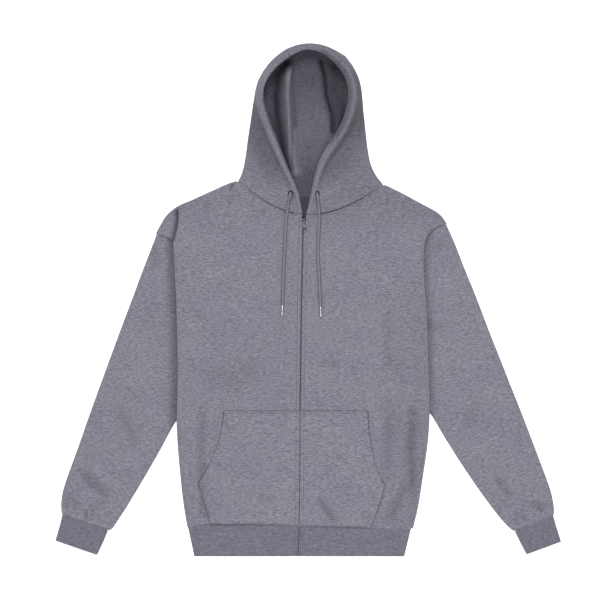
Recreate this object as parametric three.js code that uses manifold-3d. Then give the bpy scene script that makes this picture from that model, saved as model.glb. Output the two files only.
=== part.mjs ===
// Zip up hoodie, laid flat on its back with the hood opened.
// Units are millimetres, +Z is up and +Y points to the hood. The origin is at the
// centre of the garment's box, on the surface that it lies on.
// Left and right are the wearer's: the right side lies at -X. In every table, "out" is
// the distance sideways from the middle line, so both sides read the same way.
import * as THREE from 'three';
import * as BufferGeometryUtils from 'three/addons/utils/BufferGeometryUtils.js';
import Module from 'manifold-3d';

const wasm = await Module();
wasm.setup();

// Driving sizes
const CLOTH = 2; // brushed fleece
const RIB = 2.6; // doubled rib knit of cuffs and waistband
const SEAM = 0.3; // space between two pieces at a seam
const LAY = 0.4; // space between a piece and the panel that it lies on
const POCKET_LAY = 0.7; // a pocket's, whose facets bridge its front's hollows
const SLEEVE_HEIGHT = 5.8; // a sleeve where it lies under the body
const LIFT = SLEEVE_HEIGHT + LAY; // the body where it lies over a sleeve
// How far in from a sleeve's edge the back and the front come down from it
const BACK_FADE = { near: 30, far: 66, tip: 0 };
const FRONT_FADE = { near: 44, far: 88, tip: 5 };
const TIP_FADE = { above: 34, seam: 14, across: 14 }; // and beyond the armhole seam
const AIR = { middle: 1.4, side: 2.8 }; // space between front and back
const LIP = { from: 0.945, thick: 1.2 }; // the rounded fold at a front's side
const HEM_Y = -431;
const BAND = { height: 56, air: 0.8, sideRound: 3.2 };
const CUFF_HEIGHT = 7.4;
const ZIP = { edge: 2.6, tape: 13, tapeThick: 0.8, chain: 2, chainTop: 5.2, top: 160.5, end: -485.5 };
const SLIDER = { width: 9, length: 13, thick: 2.6, crownWide: 2, crownThick: 0.9, crownLong: 7.6 };
const PULL = { width: 5.6, length: 23, eye: 3.9, bar: 1.2, windowWide: 3.2, windowLong: 5, lean: 2.5 };
const EYELET = { outer: 5, inner: 2.9, high: 1.2 };
const CORD = { radius: 3, sides: 8, steps: 30, exitRise: 3.4 };
const TIP = { radius: 2.3, length: 20, sides: 12 };
const HOOD_CASING = 5; // thickness of the hood's rolled edge
const BACK_NECK_Y = 195.6;
const NECK_GAP = 1; // between the hood's straight facets and the neck curve of the fronts

// The zip's line, which sways a little: x at each y
const ZIP_LINE = [
  { y: -486, x: -18.3 },
  { y: -380, x: -16.1 },
  { y: -190, x: -14.8 },
  { y: 0, x: -12.3 },
  { y: 114, x: -9.9 },
  { y: 165, x: -7.4 },
];

// One row for each station of a body side, from the hem up: the side's outline (out, y)
// and the height of the same station at the zip (mid). From the neck on, "neck" is the
// station's share of the neck curve instead. The tip rows lie on the armhole seam.
const RIGHT_ROWS = [
  { out: 229, y: -431, mid: HEM_Y },
  { out: 236, y: -388, mid: -388 },
  { out: 242, y: -335, mid: -335 },
  { out: 247, y: -275, mid: -275 },
  { out: 249, y: -236, mid: -236 },
  { out: 249, y: -212, mid: -212 },
  { out: 248.5, y: -186, mid: -186 },
  { out: 247.6, y: -150, mid: -150 },
  { out: 247.5, y: -110, mid: -110 },
  { out: 248.8, y: -60, mid: -55 },
  { out: 250, y: -5, mid: 5 },
  { out: 252.5, y: 40, mid: 55 },
  { out: 254, y: 78, mid: 95 },
  { out: 255, y: 98, mid: 118 },
  { out: 256, onSeam: true, mid: 130 },
  { out: 271, onSeam: true, mid: 140 },
  { out: 288.4, onSeam: true, mid: 149 },
  { out: 279.3, y: 143.6, mid: 156 },
  { out: 268, y: 161, neck: 0 },
  { out: 248.3, y: 177.3, neck: 0.2 },
  { out: 218, y: 190.6, neck: 0.42 },
  { out: 180, y: 208, neck: 0.65 },
  { out: 152, y: 220.5, neck: 0.85 },
  { out: 137, y: 225.4, neck: 0.99 },
];
const LEFT_ROWS = [
  { out: 200, y: -431, mid: HEM_Y },
  { out: 210, y: -388, mid: -388 },
  { out: 218, y: -335, mid: -335 },
  { out: 226.5, y: -275, mid: -275 },
  { out: 229.5, y: -238, mid: -238 },
  { out: 230.5, y: -212, mid: -212 },
  { out: 230.5, y: -186, mid: -186 },
  { out: 229.5, y: -150, mid: -150 },
  { out: 228, y: -110, mid: -110 },
  { out: 226.7, y: -60, mid: -55 },
  { out: 223.8, y: -5, mid: 5 },
  { out: 220.5, y: 42, mid: 55 },
  { out: 219.5, y: 82, mid: 95 },
  { out: 221.5, y: 108, mid: 122 },
  { out: 228, onSeam: true, mid: 134 },
  { out: 245, onSeam: true, mid: 143 },
  { out: 263, onSeam: true, mid: 151 },
  { out: 257, y: 154.5, mid: 157 },
  { out: 250, y: 162.5, neck: 0 },
  { out: 240, y: 169.3, neck: 0.2 },
  { out: 212, y: 184.5, neck: 0.42 },
  { out: 180, y: 201.8, neck: 0.65 },
  { out: 158, y: 212.7, neck: 0.85 },
  { out: 147, y: 217.8, neck: 0.99 },
];

// One row for each station of a sleeve, from the armhole to the cuff: its outer edge
// (out, y), its inner edge (inOut, inY), its height, and how far its outer half swells.
const RIGHT_SLEEVE = [
  { out: 288.4, y: 124.1, inOut: 229.9, inY: 102.3, high: 5.8, swell: 0 },
  { out: 297.7, y: 98.8, inOut: 218.5, inY: 53.2, high: 5.8, swell: 1 },
  { out: 310, y: 68.4, inOut: 207, inY: 11.4, high: 5.8, swell: 2 },
  { out: 322, y: 36, inOut: 195.7, inY: -34, high: 5.8, swell: 2 },
  { out: 336, y: -2, inOut: 184.3, inY: -85.5, high: 5.8, swell: 2 },
  { out: 353.4, y: -47.5, inOut: 177.7, inY: -131, high: 5.8, swell: 2 },
  { out: 370.5, y: -94, inOut: 199.5, inY: -167, high: 5.8, swell: 2 },
  { out: 387.6, y: -140.6, inOut: 224.2, inY: -197.6, high: 5.8, swell: 2 },
  { out: 404, y: -186, inOut: 250, inY: -226, high: 5.8, swell: 2 },
  { out: 420, y: -230, inOut: 271.7, inY: -268.8, high: 6.8, swell: 1 },
  { out: 436, y: -277, inOut: 294.5, inY: -309.7, high: 7.6, swell: 0 },
  { out: 450.5, y: -316, inOut: 317.3, inY: -348.6, high: 7.6, swell: 0 },
  { out: 461.3, y: -346, inOut: 336.3, inY: -380, high: 7.6, swell: 0 },
  { out: 467.4, y: -366, inOut: 349.6, inY: -402, high: 7.6, swell: 0 },
  { out: 469.9, y: -386, inOut: 362.9, inY: -421.4, high: 7.6, swell: 0 },
  { out: 469.3, y: -399, inOut: 371.4, inY: -435.4, high: 7.6, swell: 0 },
  { out: 467.6, y: -406.8, inOut: 378.6, inY: -438, high: 7.4, swell: 0 },
];
const LEFT_SLEEVE = [
  { out: 263, y: 143.7, inOut: 203.3, inY: 113.6, high: 5.8, swell: 0 },
  { out: 273.6, y: 121.6, inOut: 191.9, inY: 66.5, high: 5.8, swell: 1 },
  { out: 285, y: 94, inOut: 180.5, inY: 19, high: 5.8, swell: 2 },
  { out: 298.7, y: 57, inOut: 169, inY: -30.4, high: 5.8, swell: 2 },
  { out: 314.3, y: 21, inOut: 159.6, inY: -76, high: 5.8, swell: 2 },
  { out: 331.6, y: -24.7, inOut: 154.8, inY: -121.6, high: 5.8, swell: 2 },
  { out: 349.6, y: -72, inOut: 176.7, inY: -154, high: 5.8, swell: 2 },
  { out: 366.7, y: -114, inOut: 203.3, inY: -184, high: 5.8, swell: 2 },
  { out: 385.7, y: -163.4, inOut: 231.8, inY: -212, high: 5.8, swell: 2 },
  { out: 402.8, y: -205, inOut: 253.6, inY: -252, high: 6.8, swell: 1 },
  { out: 421.8, y: -254.6, inOut: 278.3, inY: -291.6, high: 7.6, swell: 0 },
  { out: 438.9, y: -300, inOut: 302, inY: -328, high: 7.6, swell: 0 },
  { out: 454, y: -340, inOut: 328.7, inY: -366.7, high: 7.6, swell: 0 },
  { out: 462.8, y: -364.8, inOut: 348.6, inY: -393.3, high: 7.6, swell: 0 },
  { out: 467.4, y: -387.6, inOut: 366.7, inY: -417, high: 7.6, swell: 0 },
  { out: 468.5, y: -401.8, inOut: 383, inY: -434, high: 7.6, swell: 0 },
  { out: 466.8, y: -409.6, inOut: 391.5, inY: -439, high: 7.4, swell: 0 },
];

// A cuff's corners: at the seam and at its free edge
const RIGHT_CUFF = [
  { out: 467.2, y: -407.8, inOut: 380.3, inY: -438.7 },
  { out: 472.4, y: -431, inOut: 388.6, inY: -460 },
  { out: 480.6, y: -457, inOut: 400.7, inY: -484.5 },
];
const LEFT_CUFF = [
  { out: 466.6, y: -410.6, inOut: 393.2, inY: -440.2 },
  { out: 473, y: -433, inOut: 403, inY: -461 },
  { out: 481.4, y: -459, inOut: 415.3, inY: -483.4 },
];

// A pocket's outline from its top edge down: the hand opening bows in to its lowest
// point, and the sewn edge runs from there to the waistband.
const RIGHT_POCKET = [
  { out: 159.5, y: -211 },
  { out: 160.6, y: -224 },
  { out: 162.8, y: -242 },
  { out: 169.5, y: -270 },
  { out: 180.5, y: -300 },
  { out: 194.5, y: -326 },
  { out: 208, y: -348 },
  { out: 198, y: -380 },
  { out: 184, y: -430.8 },
];
const LEFT_POCKET = [
  { out: 113, y: -211 },
  { out: 113.6, y: -225 },
  { out: 115, y: -245 },
  { out: 120, y: -280 },
  { out: 126.5, y: -310 },
  { out: 135, y: -333 },
  { out: 146.5, y: -352 },
  { out: 135, y: -391 },
  { out: 118.5, y: -430.8 },
];

// One row for each station of a hood side, from the neck to the crown: the opening's
// edge (rim), the fold at the outline (edge), and the seam to the middle strip (seam),
// with the height of rim and fold, and of the crease (ply) that runs beside the seam.
const RIGHT_HOOD = [
  { rim: 10.6, rimY: 162.8, rimZ: 5.4, edge: 133, edgeY: 226.4, edgeZ: 5.4, seam: 28.5, seamY: 196.8, ply: 0 },
  { rim: 16.7, rimY: 199.5, rimZ: 10, edge: 126.9, edgeY: 237, edgeZ: 6.5, seam: 28.5, seamY: 216.6, ply: 2 },
  { rim: 26.6, rimY: 226, rimZ: 15, edge: 122, edgeY: 253, edgeZ: 8.5, seam: 28.9, seamY: 237.5, ply: 5 },
  { rim: 38, rimY: 252.7, rimZ: 20, edge: 118.6, edgeY: 273.6, edgeZ: 10.5, seam: 29.3, seamY: 260, ply: 8 },
  { rim: 50.3, rimY: 284, rimZ: 25, edge: 115.5, edgeY: 297.3, edgeZ: 13, seam: 28.5, seamY: 285, ply: 9 },
  { rim: 62.7, rimY: 314.4, rimZ: 29, edge: 112, edgeY: 323, edgeZ: 15, seam: 27, seamY: 313.5, ply: 10 },
  { rim: 76, rimY: 349.6, rimZ: 33, edge: 107.2, edgeY: 352.4, edgeZ: 17, seam: 27.9, seamY: 344, ply: 10 },
  { rim: 84.4, rimY: 380, rimZ: 36, edge: 103.9, edgeY: 380, edgeZ: 19, seam: 30, seamY: 372.4, ply: 10 },
  { rim: 84.9, rimY: 399, rimZ: 39, edge: 100.3, edgeY: 404.7, edgeZ: 21, seam: 30.4, seamY: 395, ply: 9 },
  { rim: 77, rimY: 418, rimZ: 41, edge: 93, edgeY: 424, edgeZ: 23, seam: 29.8, seamY: 412.3, ply: 7 },
  { rim: 64.6, rimY: 435, rimZ: 43, edge: 80.9, edgeY: 443, edgeZ: 25, seam: 28.5, seamY: 425.6, ply: 5 },
  { rim: 50.3, rimY: 448.4, rimZ: 45, edge: 64.5, edgeY: 462, edgeZ: 27, seam: 27.4, seamY: 435, ply: 3 },
  { rim: 34.2, rimY: 459, rimZ: 46, edge: 42, edgeY: 477.5, edgeZ: 28, seam: 25.5, seamY: 444.6, ply: 0 },
];
const LEFT_HOOD = [
  { rim: -3.4, rimY: 161.9, rimZ: 5.4, edge: 142.5, edgeY: 220.6, edgeZ: 5.4, seam: 34.2, seamY: 196.9, ply: 0 },
  { rim: 4.6, rimY: 195.7, rimZ: 10, edge: 133, edgeY: 231.6, edgeZ: 6.5, seam: 34.2, seamY: 214.7, ply: 2 },
  { rim: 9.1, rimY: 222.3, rimZ: 15, edge: 123.5, edgeY: 246, edgeZ: 8.5, seam: 35.3, seamY: 233.7, ply: 3 },
  { rim: 15.2, rimY: 249, rimZ: 20, edge: 117, edgeY: 265, edgeZ: 10.5, seam: 38, seamY: 256.5, ply: 4 },
  { rim: 26.6, rimY: 276.4, rimZ: 25, edge: 113.2, edgeY: 288, edgeZ: 13, seam: 42.8, seamY: 281.2, ply: 5 },
  { rim: 41.8, rimY: 299.2, rimZ: 29, edge: 110.8, edgeY: 309.7, edgeZ: 15, seam: 47.9, seamY: 307.8, ply: 6 },
  { rim: 57.9, rimY: 324, rimZ: 33, edge: 108.3, edgeY: 330.6, edgeZ: 17, seam: 49, seamY: 332.5, ply: 7 },
  { rim: 70.3, rimY: 353.4, rimZ: 36, edge: 106.4, edgeY: 355.3, edgeZ: 19, seam: 45.6, seamY: 361, ply: 7 },
  { rim: 76.6, rimY: 382, rimZ: 39, edge: 104.5, edgeY: 382.8, edgeZ: 21, seam: 41.8, seamY: 383.8, ply: 6 },
  { rim: 75.6, rimY: 401.8, rimZ: 41, edge: 102.2, edgeY: 406.6, edgeZ: 23, seam: 40.9, seamY: 401, ply: 5 },
  { rim: 70.3, rimY: 420, rimZ: 43, edge: 96, edgeY: 427, edgeZ: 25, seam: 43.7, seamY: 414.2, ply: 4 },
  { rim: 63.6, rimY: 432.2, rimZ: 45, edge: 85.5, edgeY: 447, edgeZ: 27, seam: 47.5, seamY: 423.7, ply: 2 },
  { rim: 55.1, rimY: 442.7, rimZ: 46, edge: 71, edgeY: 464, edgeZ: 28, seam: 52.1, seamY: 432.2, ply: 0 },
];

// A drawcord's route over the front, from its eyelet to its tip
const RIGHT_CORD = [
  { out: 33, y: 203 },
  { out: 37.6, y: 182 },
  { out: 41, y: 158 },
  { out: 42.8, y: 129 },
  { out: 44.5, y: 95 },
  { out: 46.4, y: 57 },
  { out: 47.5, y: 19 },
  { out: 48.6, y: -9.5 },
];
const LEFT_CORD = [
  { out: 17.5, y: 202 },
  { out: 20.1, y: 180.5 },
  { out: 21.7, y: 156 },
  { out: 20.1, y: 123.5 },
  { out: 18.6, y: 85.5 },
  { out: 20.9, y: 53 },
  { out: 22.4, y: 19 },
  { out: 23.6, y: -11.4 },
];

// What differs between the two sides. The armhole seam is a straight line in plan that
// rises outwards, the neck curve is bent by its middle point, and the drop of the
// crown's strip between its ends is given at the seam, the fold and the rim.
const SIDES = {
  right: {
    name: 'right', sign: -1, rows: RIGHT_ROWS, sleeve: RIGHT_SLEEVE, cuff: RIGHT_CUFF,
    pocket: RIGHT_POCKET, hood: RIGHT_HOOD, cord: RIGHT_CORD,
    armhole: { out: 288.4, y: 124.4, slope: 0.373, tip: 257 },
    neck: { from: [10.6, 162.8], bend: [57.8, 160], to: [132.2, 225.7] },
    band: { top: 228.6, bottom: 216.4 },
  },
  left: {
    name: 'left', sign: 1, rows: LEFT_ROWS, sleeve: LEFT_SLEEVE, cuff: LEFT_CUFF,
    pocket: LEFT_POCKET, hood: LEFT_HOOD, cord: LEFT_CORD,
    armhole: { out: 263, y: 144, slope: 0.5045, tip: 229 },
    neck: { from: [-3.4, 161.9], bend: [63.6, 155.8], to: [141.5, 219.8] },
    band: { top: 196, bottom: 183.4 },
  },
};
const CROWN_RISE = { seam: 5, fold: 17.3, rim: 21.6 };

const FRONT_COLUMNS = [0, 0.035, 0.14, 0.3, 0.42, 0.54, 0.64, 0.73, 0.81, 0.89, 0.95, 0.984, 1];
const BACK_COLUMNS = [1, 0.95, 0.88, 0.81, 0.74, 0.66, 0.58, 0.48, 0.26];
const RING_COLUMNS = [0.12, 0.3, 0.5, 0.7, 0.88];

const COLOURS = {
  fleece: { color: 0x85838f, roughness: 0.95, metalness: 0 },
  rib: { color: 0x6c6a75, roughness: 0.95, metalness: 0 },
  zip: { color: 0x4a4850, roughness: 0.8, metalness: 0 },
  metal: { color: 0x9a9a9e, roughness: 0.35, metalness: 1 },
  cord: { color: 0x8c838c, roughness: 0.9, metalness: 0 },
};

// Small maths
const lerp = (a, b, t) => a + (b - a) * t;
const smooth = (low, high, value) => THREE.MathUtils.smoothstep(value, low, high);
const point = (side, out, y, z) => new THREE.Vector3(side.sign * out, y, z);

function tableValue(rows, key, column, value) {
  const sorted = [...rows].sort((a, b) => a[key] - b[key]);
  if (value <= sorted[0][key]) return sorted[0][column];
  for (let i = 1; i < sorted.length; i += 1) {
    if (value <= sorted[i][key]) {
      const share = (value - sorted[i - 1][key]) / (sorted[i][key] - sorted[i - 1][key]);
      return lerp(sorted[i - 1][column], sorted[i][column], share);
    }
  }
  return sorted[sorted.length - 1][column];
}

const zipX = (y) => tableValue(ZIP_LINE, 'y', 'x', y);
const zipOut = (side, y) => side.sign * zipX(y) + ZIP.edge;
const armholeY = (side, out) => side.armhole.y - (side.armhole.out - out) * side.armhole.slope;

function neckPoint(side, share) {
  const { from, bend, to } = side.neck;
  const a = (1 - share) ** 2;
  const b = 2 * share * (1 - share);
  const c = share ** 2;
  return { out: a * from[0] + b * bend[0] + c * to[0], y: a * from[1] + b * bend[1] + c * to[1] };
}

// Closed meshes
function solid(points, faces) {
  let volume = 0;
  for (let i = 0; i < faces.length; i += 3) {
    const [a, b, c] = [points[faces[i]], points[faces[i + 1]], points[faces[i + 2]]];
    volume += a.dot(b.clone().cross(c));
  }
  const turned = volume < 0 ? faces.slice().reverse() : faces;
  const geometry = new THREE.BufferGeometry();
  geometry.setAttribute('position', new THREE.Float32BufferAttribute(points.flatMap((p) => p.toArray()), 3));
  geometry.setIndex(turned);
  geometry.computeVertexNormals();
  return geometry;
}

// A wall between two grids of points, closed all round its edge
function sheet(upper, lower) {
  const rows = upper.length;
  const columns = upper[0].length;
  const under = rows * columns;
  const at = (i, j) => i * columns + j;
  const faces = [];
  const quad = (a, b, c, d) => faces.push(a, b, c, a, c, d);
  for (let i = 0; i < rows - 1; i += 1) {
    for (let j = 0; j < columns - 1; j += 1) {
      quad(at(i, j), at(i, j + 1), at(i + 1, j + 1), at(i + 1, j));
      quad(under + at(i, j), under + at(i + 1, j), under + at(i + 1, j + 1), under + at(i, j + 1));
    }
  }
  const loop = [];
  for (let j = 0; j < columns - 1; j += 1) loop.push(at(0, j));
  for (let i = 0; i < rows - 1; i += 1) loop.push(at(i, columns - 1));
  for (let j = columns - 1; j > 0; j -= 1) loop.push(at(rows - 1, j));
  for (let i = rows - 1; i > 0; i -= 1) loop.push(at(i, 0));
  loop.forEach((a, k) => {
    const b = loop[(k + 1) % loop.length];
    quad(b, a, under + a, under + b);
  });
  return solid([...upper.flat(), ...lower.flat()], faces);
}

// A wall between two sets of rings, open at both ends
function openTube(outer, inner) {
  const rows = outer.length;
  const count = outer[0].length;
  const under = rows * count;
  const at = (i, j) => i * count + (j % count);
  const faces = [];
  const quad = (a, b, c, d) => faces.push(a, b, c, a, c, d);
  for (let j = 0; j < count; j += 1) {
    for (let i = 0; i < rows - 1; i += 1) {
      quad(at(i, j), at(i, j + 1), at(i + 1, j + 1), at(i + 1, j));
      quad(under + at(i, j), under + at(i + 1, j), under + at(i + 1, j + 1), under + at(i, j + 1));
    }
    quad(at(0, j + 1), at(0, j), under + at(0, j), under + at(0, j + 1));
    quad(at(rows - 1, j), at(rows - 1, j + 1), under + at(rows - 1, j + 1), under + at(rows - 1, j));
  }
  return solid([...outer.flat(), ...inner.flat()], faces);
}

function manifoldOf(geometry) {
  const bare = geometry.clone();
  bare.deleteAttribute('normal');
  bare.deleteAttribute('uv');
  const merged = BufferGeometryUtils.mergeVertices(bare, 1e-4);
  const vertProperties = new Float32Array(merged.attributes.position.array);
  const triVerts = new Uint32Array(merged.index.array);
  return new wasm.Manifold(new wasm.Mesh({ numProp: 3, vertProperties, triVerts }));
}

function geometryOf(manifold) {
  const mesh = manifold.getMesh();
  const geometry = new THREE.BufferGeometry();
  geometry.setAttribute('position', new THREE.BufferAttribute(new Float32Array(mesh.vertProperties), 3));
  geometry.setIndex(new THREE.BufferAttribute(new Uint32Array(mesh.triVerts), 1));
  geometry.computeVertexNormals();
  return geometry;
}

// Laying pieces on the cloth: the highest surface straight below a place
const down = new THREE.Vector3(0, 0, -1);
function heightUnder(meshes, x, y) {
  const ray = new THREE.Raycaster(new THREE.Vector3(x, y, 200), down);
  const hits = ray.intersectObjects(meshes);
  return hits.length ? hits[0].point.z : 0;
}

function clothTop(meshes, x, y, reach) {
  const around = [[0, 0], [reach, 0], [-reach, 0], [0, reach], [0, -reach]];
  return Math.max(...around.map(([dx, dy]) => heightUnder(meshes, x + dx, y + dy)));
}

// The body's form: how high the cloth lies over the floor where a sleeve is under it,
// and the space between back and front
function lift(side, out, y, fade) {
  const sleeveEdge = tableValue(side.sleeve.slice(0, -1), 'inY', 'inOut', y);
  const overSleeve = smooth(-fade.far, -fade.near, out - sleeveEdge);
  const belowSeam = smooth(-TIP_FADE.above, -TIP_FADE.seam, armholeY(side, out) - y);
  const tip = side.armhole.tip + fade.tip;
  const insideTip = 1 - smooth(tip, tip + TIP_FADE.across, out);
  return LIFT * overSleeve * belowSeam * insideTip;
}

function frontAir(share) {
  const full = lerp(AIR.middle, AIR.side, THREE.MathUtils.clamp((share - 0.3) / 0.51, 0, 1));
  if (share <= LIP.from) return full;
  const down = (share - LIP.from) / (1 - LIP.from);
  return lerp(full, LAY, down ** 2);
}

function stations(side) {
  return side.rows.map((row) => {
    const y = row.onSeam ? armholeY(side, row.out) + SEAM : row.y;
    const inner = row.neck === undefined
      ? { out: zipOut(side, row.mid), y: row.mid }
      : neckPoint(side, row.neck);
    return { out: row.out, y, inner, neck: row.neck };
  });
}

function frontPoint(side, station, share) {
  const out = lerp(station.inner.out, station.out, share);
  const y = lerp(station.inner.y, station.y, share);
  const under = lift(side, out, y, FRONT_FADE) + CLOTH + frontAir(share);
  const thick = share === 1 ? LIP.thick : CLOTH;
  return { low: point(side, out, y, under), high: point(side, out, y, under + thick) };
}

function front(side) {
  const grid = stations(side).map((s) => FRONT_COLUMNS.map((share) => frontPoint(side, s, share)));
  return sheet(grid.map((row) => row.map((p) => p.high)), grid.map((row) => row.map((p) => p.low)));
}

function back() {
  const right = stations(SIDES.right);
  const left = stations(SIDES.left);
  const grid = right.map((_, i) => {
    const middleY = right[i].neck === undefined
      ? (right[i].inner.y + left[i].inner.y) / 2
      : lerp(SIDES.right.neck.from[1], BACK_NECK_Y, right[i].neck);
    const half = (side, s, share) => {
      const out = s.out * share;
      const y = lerp(middleY, s.y, share ** 2);
      return point(side, out, y, lift(side, out, y, BACK_FADE));
    };
    return [
      ...BACK_COLUMNS.map((share) => half(SIDES.right, right[i], share)),
      new THREE.Vector3(0, middleY, 0),
      ...[...BACK_COLUMNS].reverse().map((share) => half(SIDES.left, left[i], share)),
    ];
  });
  const raise = (p) => p.clone().setZ(p.z + CLOTH);
  return sheet(grid.map((row) => row.map(raise)), grid);
}

// A flattened ring between its outer and inner edge points
function flatRing(side, row, high, swell, inset) {
  const outer = new THREE.Vector2(row.out, row.y);
  const inner = new THREE.Vector2(row.inOut, row.inY);
  const width = outer.distanceTo(inner);
  const round = (high - 2 * inset) / 2;
  const along = (s, z) => {
    const p = outer.clone().lerp(inner, s / width);
    return point(side, p.x, p.y, z);
  };
  const top = (s) => {
    const rise = s < width / 2 ? swell * Math.sin((Math.PI * s) / (width / 2)) : 0;
    return along(s, high - inset + rise);
  };
  const edge = (s, share) => along(s, lerp(inset, high - inset, share));
  const inside = (share) => lerp(inset + round, width - inset - round, share);
  const shares = RING_COLUMNS.map(inside);
  return [
    edge(inset + 0.2 * round, 0.8),
    ...shares.map(top),
    edge(width - inset - 0.2 * round, 0.8),
    edge(width - inset, 0.5),
    edge(width - inset - 0.2 * round, 0.2),
    ...[...shares].reverse().map((s) => along(s, inset)),
    edge(inset + 0.2 * round, 0.2),
    edge(inset, 0.5),
  ];
}

function sleeve(side) {
  const rings = (inset) => side.sleeve.map((row) => flatRing(side, row, row.high, row.swell, inset));
  return openTube(rings(0), rings(CLOTH));
}

function cuff(side) {
  const rings = (inset) => side.cuff.map((row) => flatRing(side, row, CUFF_HEIGHT, 0, inset));
  return openTube(rings(0), rings(RIB));
}

// The waistband wraps the hem and is open at the zip: its path runs from the zip's right
// edge round the right side, along the floor and back to the zip's left edge.
function bandHalf(side, y, share) {
  const out = lerp(side.band.top, side.band.bottom, share);
  const start = zipOut(side, y);
  const topLow = RIB + BAND.air;
  const topHigh = topLow + RIB;
  const middle = topHigh / 2;
  const r = BAND.sideRound;
  const stops = [
    ...[0, 0.6, 0.9].map((s) => lerp(start, out, s)).map((x) => ({ x, inX: x, z: topHigh, inZ: topLow })),
    { x: out - r, inX: out - r - 0.4, z: topHigh, inZ: topLow },
    { x: out - 0.5, inX: out - r, z: topHigh - 1.2, inZ: topLow - 0.2 },
    { x: out, inX: out - RIB, z: middle, inZ: middle },
    { x: out - 0.5, inX: out - r, z: 1.2, inZ: RIB + 0.2 },
    { x: out - r, inX: out - r - 0.4, z: 0, inZ: RIB },
    ...[0.9, 0.6, 0.3].map((s) => s * out).map((x) => ({ x, inX: x, z: 0, inZ: RIB })),
  ];
  return {
    outside: stops.map((stop) => point(side, stop.x, y, stop.z)),
    inside: stops.map((stop) => point(side, stop.inX, y, stop.inZ)),
  };
}

function waistband() {
  const rows = [0, 0.5, 1].map((share) => {
    const y = HEM_Y - lerp(SEAM, BAND.height, share);
    const right = bandHalf(SIDES.right, y, share);
    const left = bandHalf(SIDES.left, y, share);
    return {
      outside: [...right.outside, ...left.outside.reverse()],
      inside: [...right.inside, ...left.inside.reverse()],
    };
  });
  return sheet(rows.map((row) => row.outside), rows.map((row) => row.inside));
}

// A pocket lies on its front, from the zip's edge to its own outline
function pocket(side, frontMesh) {
  const shares = [0, 0.05, 0.25, 0.45, 0.6, 0.72, 0.83, 0.94, 1];
  const grid = side.pocket.map((row) => shares.map((share) => {
    const out = lerp(zipOut(side, row.y) + 2 * SEAM, row.out, share);
    const low = heightUnder([frontMesh], side.sign * out, row.y) + POCKET_LAY;
    return { low: point(side, out, row.y, low), high: point(side, out, row.y, low + CLOTH) };
  }));
  return sheet(grid.map((row) => row.map((p) => p.high)), grid.map((row) => row.map((p) => p.low)));
}

// One hood section runs from the middle strip's seam along the floor, round the fold at
// the outline and back over itself to the rolled edge of the face opening.
function hoodSection(side, row, onNeck) {
  const seamPoint = new THREE.Vector2(row.seam, row.seamY);
  const edgePoint = new THREE.Vector2(row.edge, row.edgeY);
  const rimPoint = new THREE.Vector2(row.rim, row.rimY);
  const lowLength = seamPoint.distanceTo(edgePoint);
  const highLength = edgePoint.distanceTo(rimPoint);
  const outer = [];
  const inner = [];
  const lay = (flat, low, high) => {
    outer.push(point(side, flat.x, flat.y, low));
    inner.push(point(side, flat.x, flat.y, high));
  };
  const lower = (distance) => {
    const p = seamPoint.clone().lerp(edgePoint, distance / lowLength);
    if (onNeck) p.y = BACK_NECK_Y + SEAM + (row.edgeY - BACK_NECK_Y) * (p.x / row.edge) ** 2;
    return p;
  };
  const upper = (distance) => {
    const share = distance / highLength;
    if (!onNeck) return edgePoint.clone().lerp(rimPoint, share);
    const p = neckPoint(side, 1 - share);
    return new THREE.Vector2(p.out, p.y + NECK_GAP);
  };
  lay(lower(0), 0, CLOTH);
  lay(lower(0.1 * lowLength), row.ply, row.ply + CLOTH);
  lay(lower(0.24 * lowLength), 0.35 * row.ply, 0.35 * row.ply + CLOTH);
  lay(lower(0.42 * lowLength), 0, CLOTH);
  lay(lower(0.7 * lowLength), 0, CLOTH);
  lay(lower(lowLength - Math.min(11, 0.2 * lowLength)), 0, CLOTH);
  const high = row.edgeZ;
  const foldIn = 1.1 * CLOTH;
  const fold = (p, q, share) => {
    outer.push(point(side, p.x, p.y, high * share));
    inner.push(point(side, q.x, q.y, lerp(CLOTH, high - CLOTH, share)));
  };
  const lowEnd = lowLength - 2.5;
  fold(lower(lowEnd), lower(lowEnd - foldIn), 0.2);
  fold(edgePoint, lower(lowLength - foldIn), 0.5);
  fold(upper(2.5), upper(2.5 + foldIn), 0.8);
  const rise = (row.rimZ - row.edgeZ) / highLength;
  const thick = CLOTH * Math.sqrt(1 + rise ** 2);
  const casing = onNeck ? CLOTH : HOOD_CASING;
  const start = 5;
  [0.05, 0.35, 0.65].forEach((share) => {
    const z = lerp(row.edgeZ, row.rimZ, smooth(-0.3, 1, share));
    lay(upper(lerp(start, highLength, share)), z, z - lerp(thick, casing, smooth(0.5, 1, share)));
  });
  lay(upper(0.93 * highLength), row.rimZ, row.rimZ - casing);
  const nose = onNeck ? 0.2 : 1.4;
  const end = onNeck ? rimPoint.clone().setY(rimPoint.y + NECK_GAP) : rimPoint;
  lay(end, row.rimZ - nose, row.rimZ - casing + nose);
  return { outer, inner };
}

const hoodSections = (side) => side.hood.map((row, i) => hoodSection(side, row, i === 0));

function hoodSide(side) {
  const sections = hoodSections(side);
  return sheet(sections.map((s) => s.outer), sections.map((s) => s.inner));
}

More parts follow.
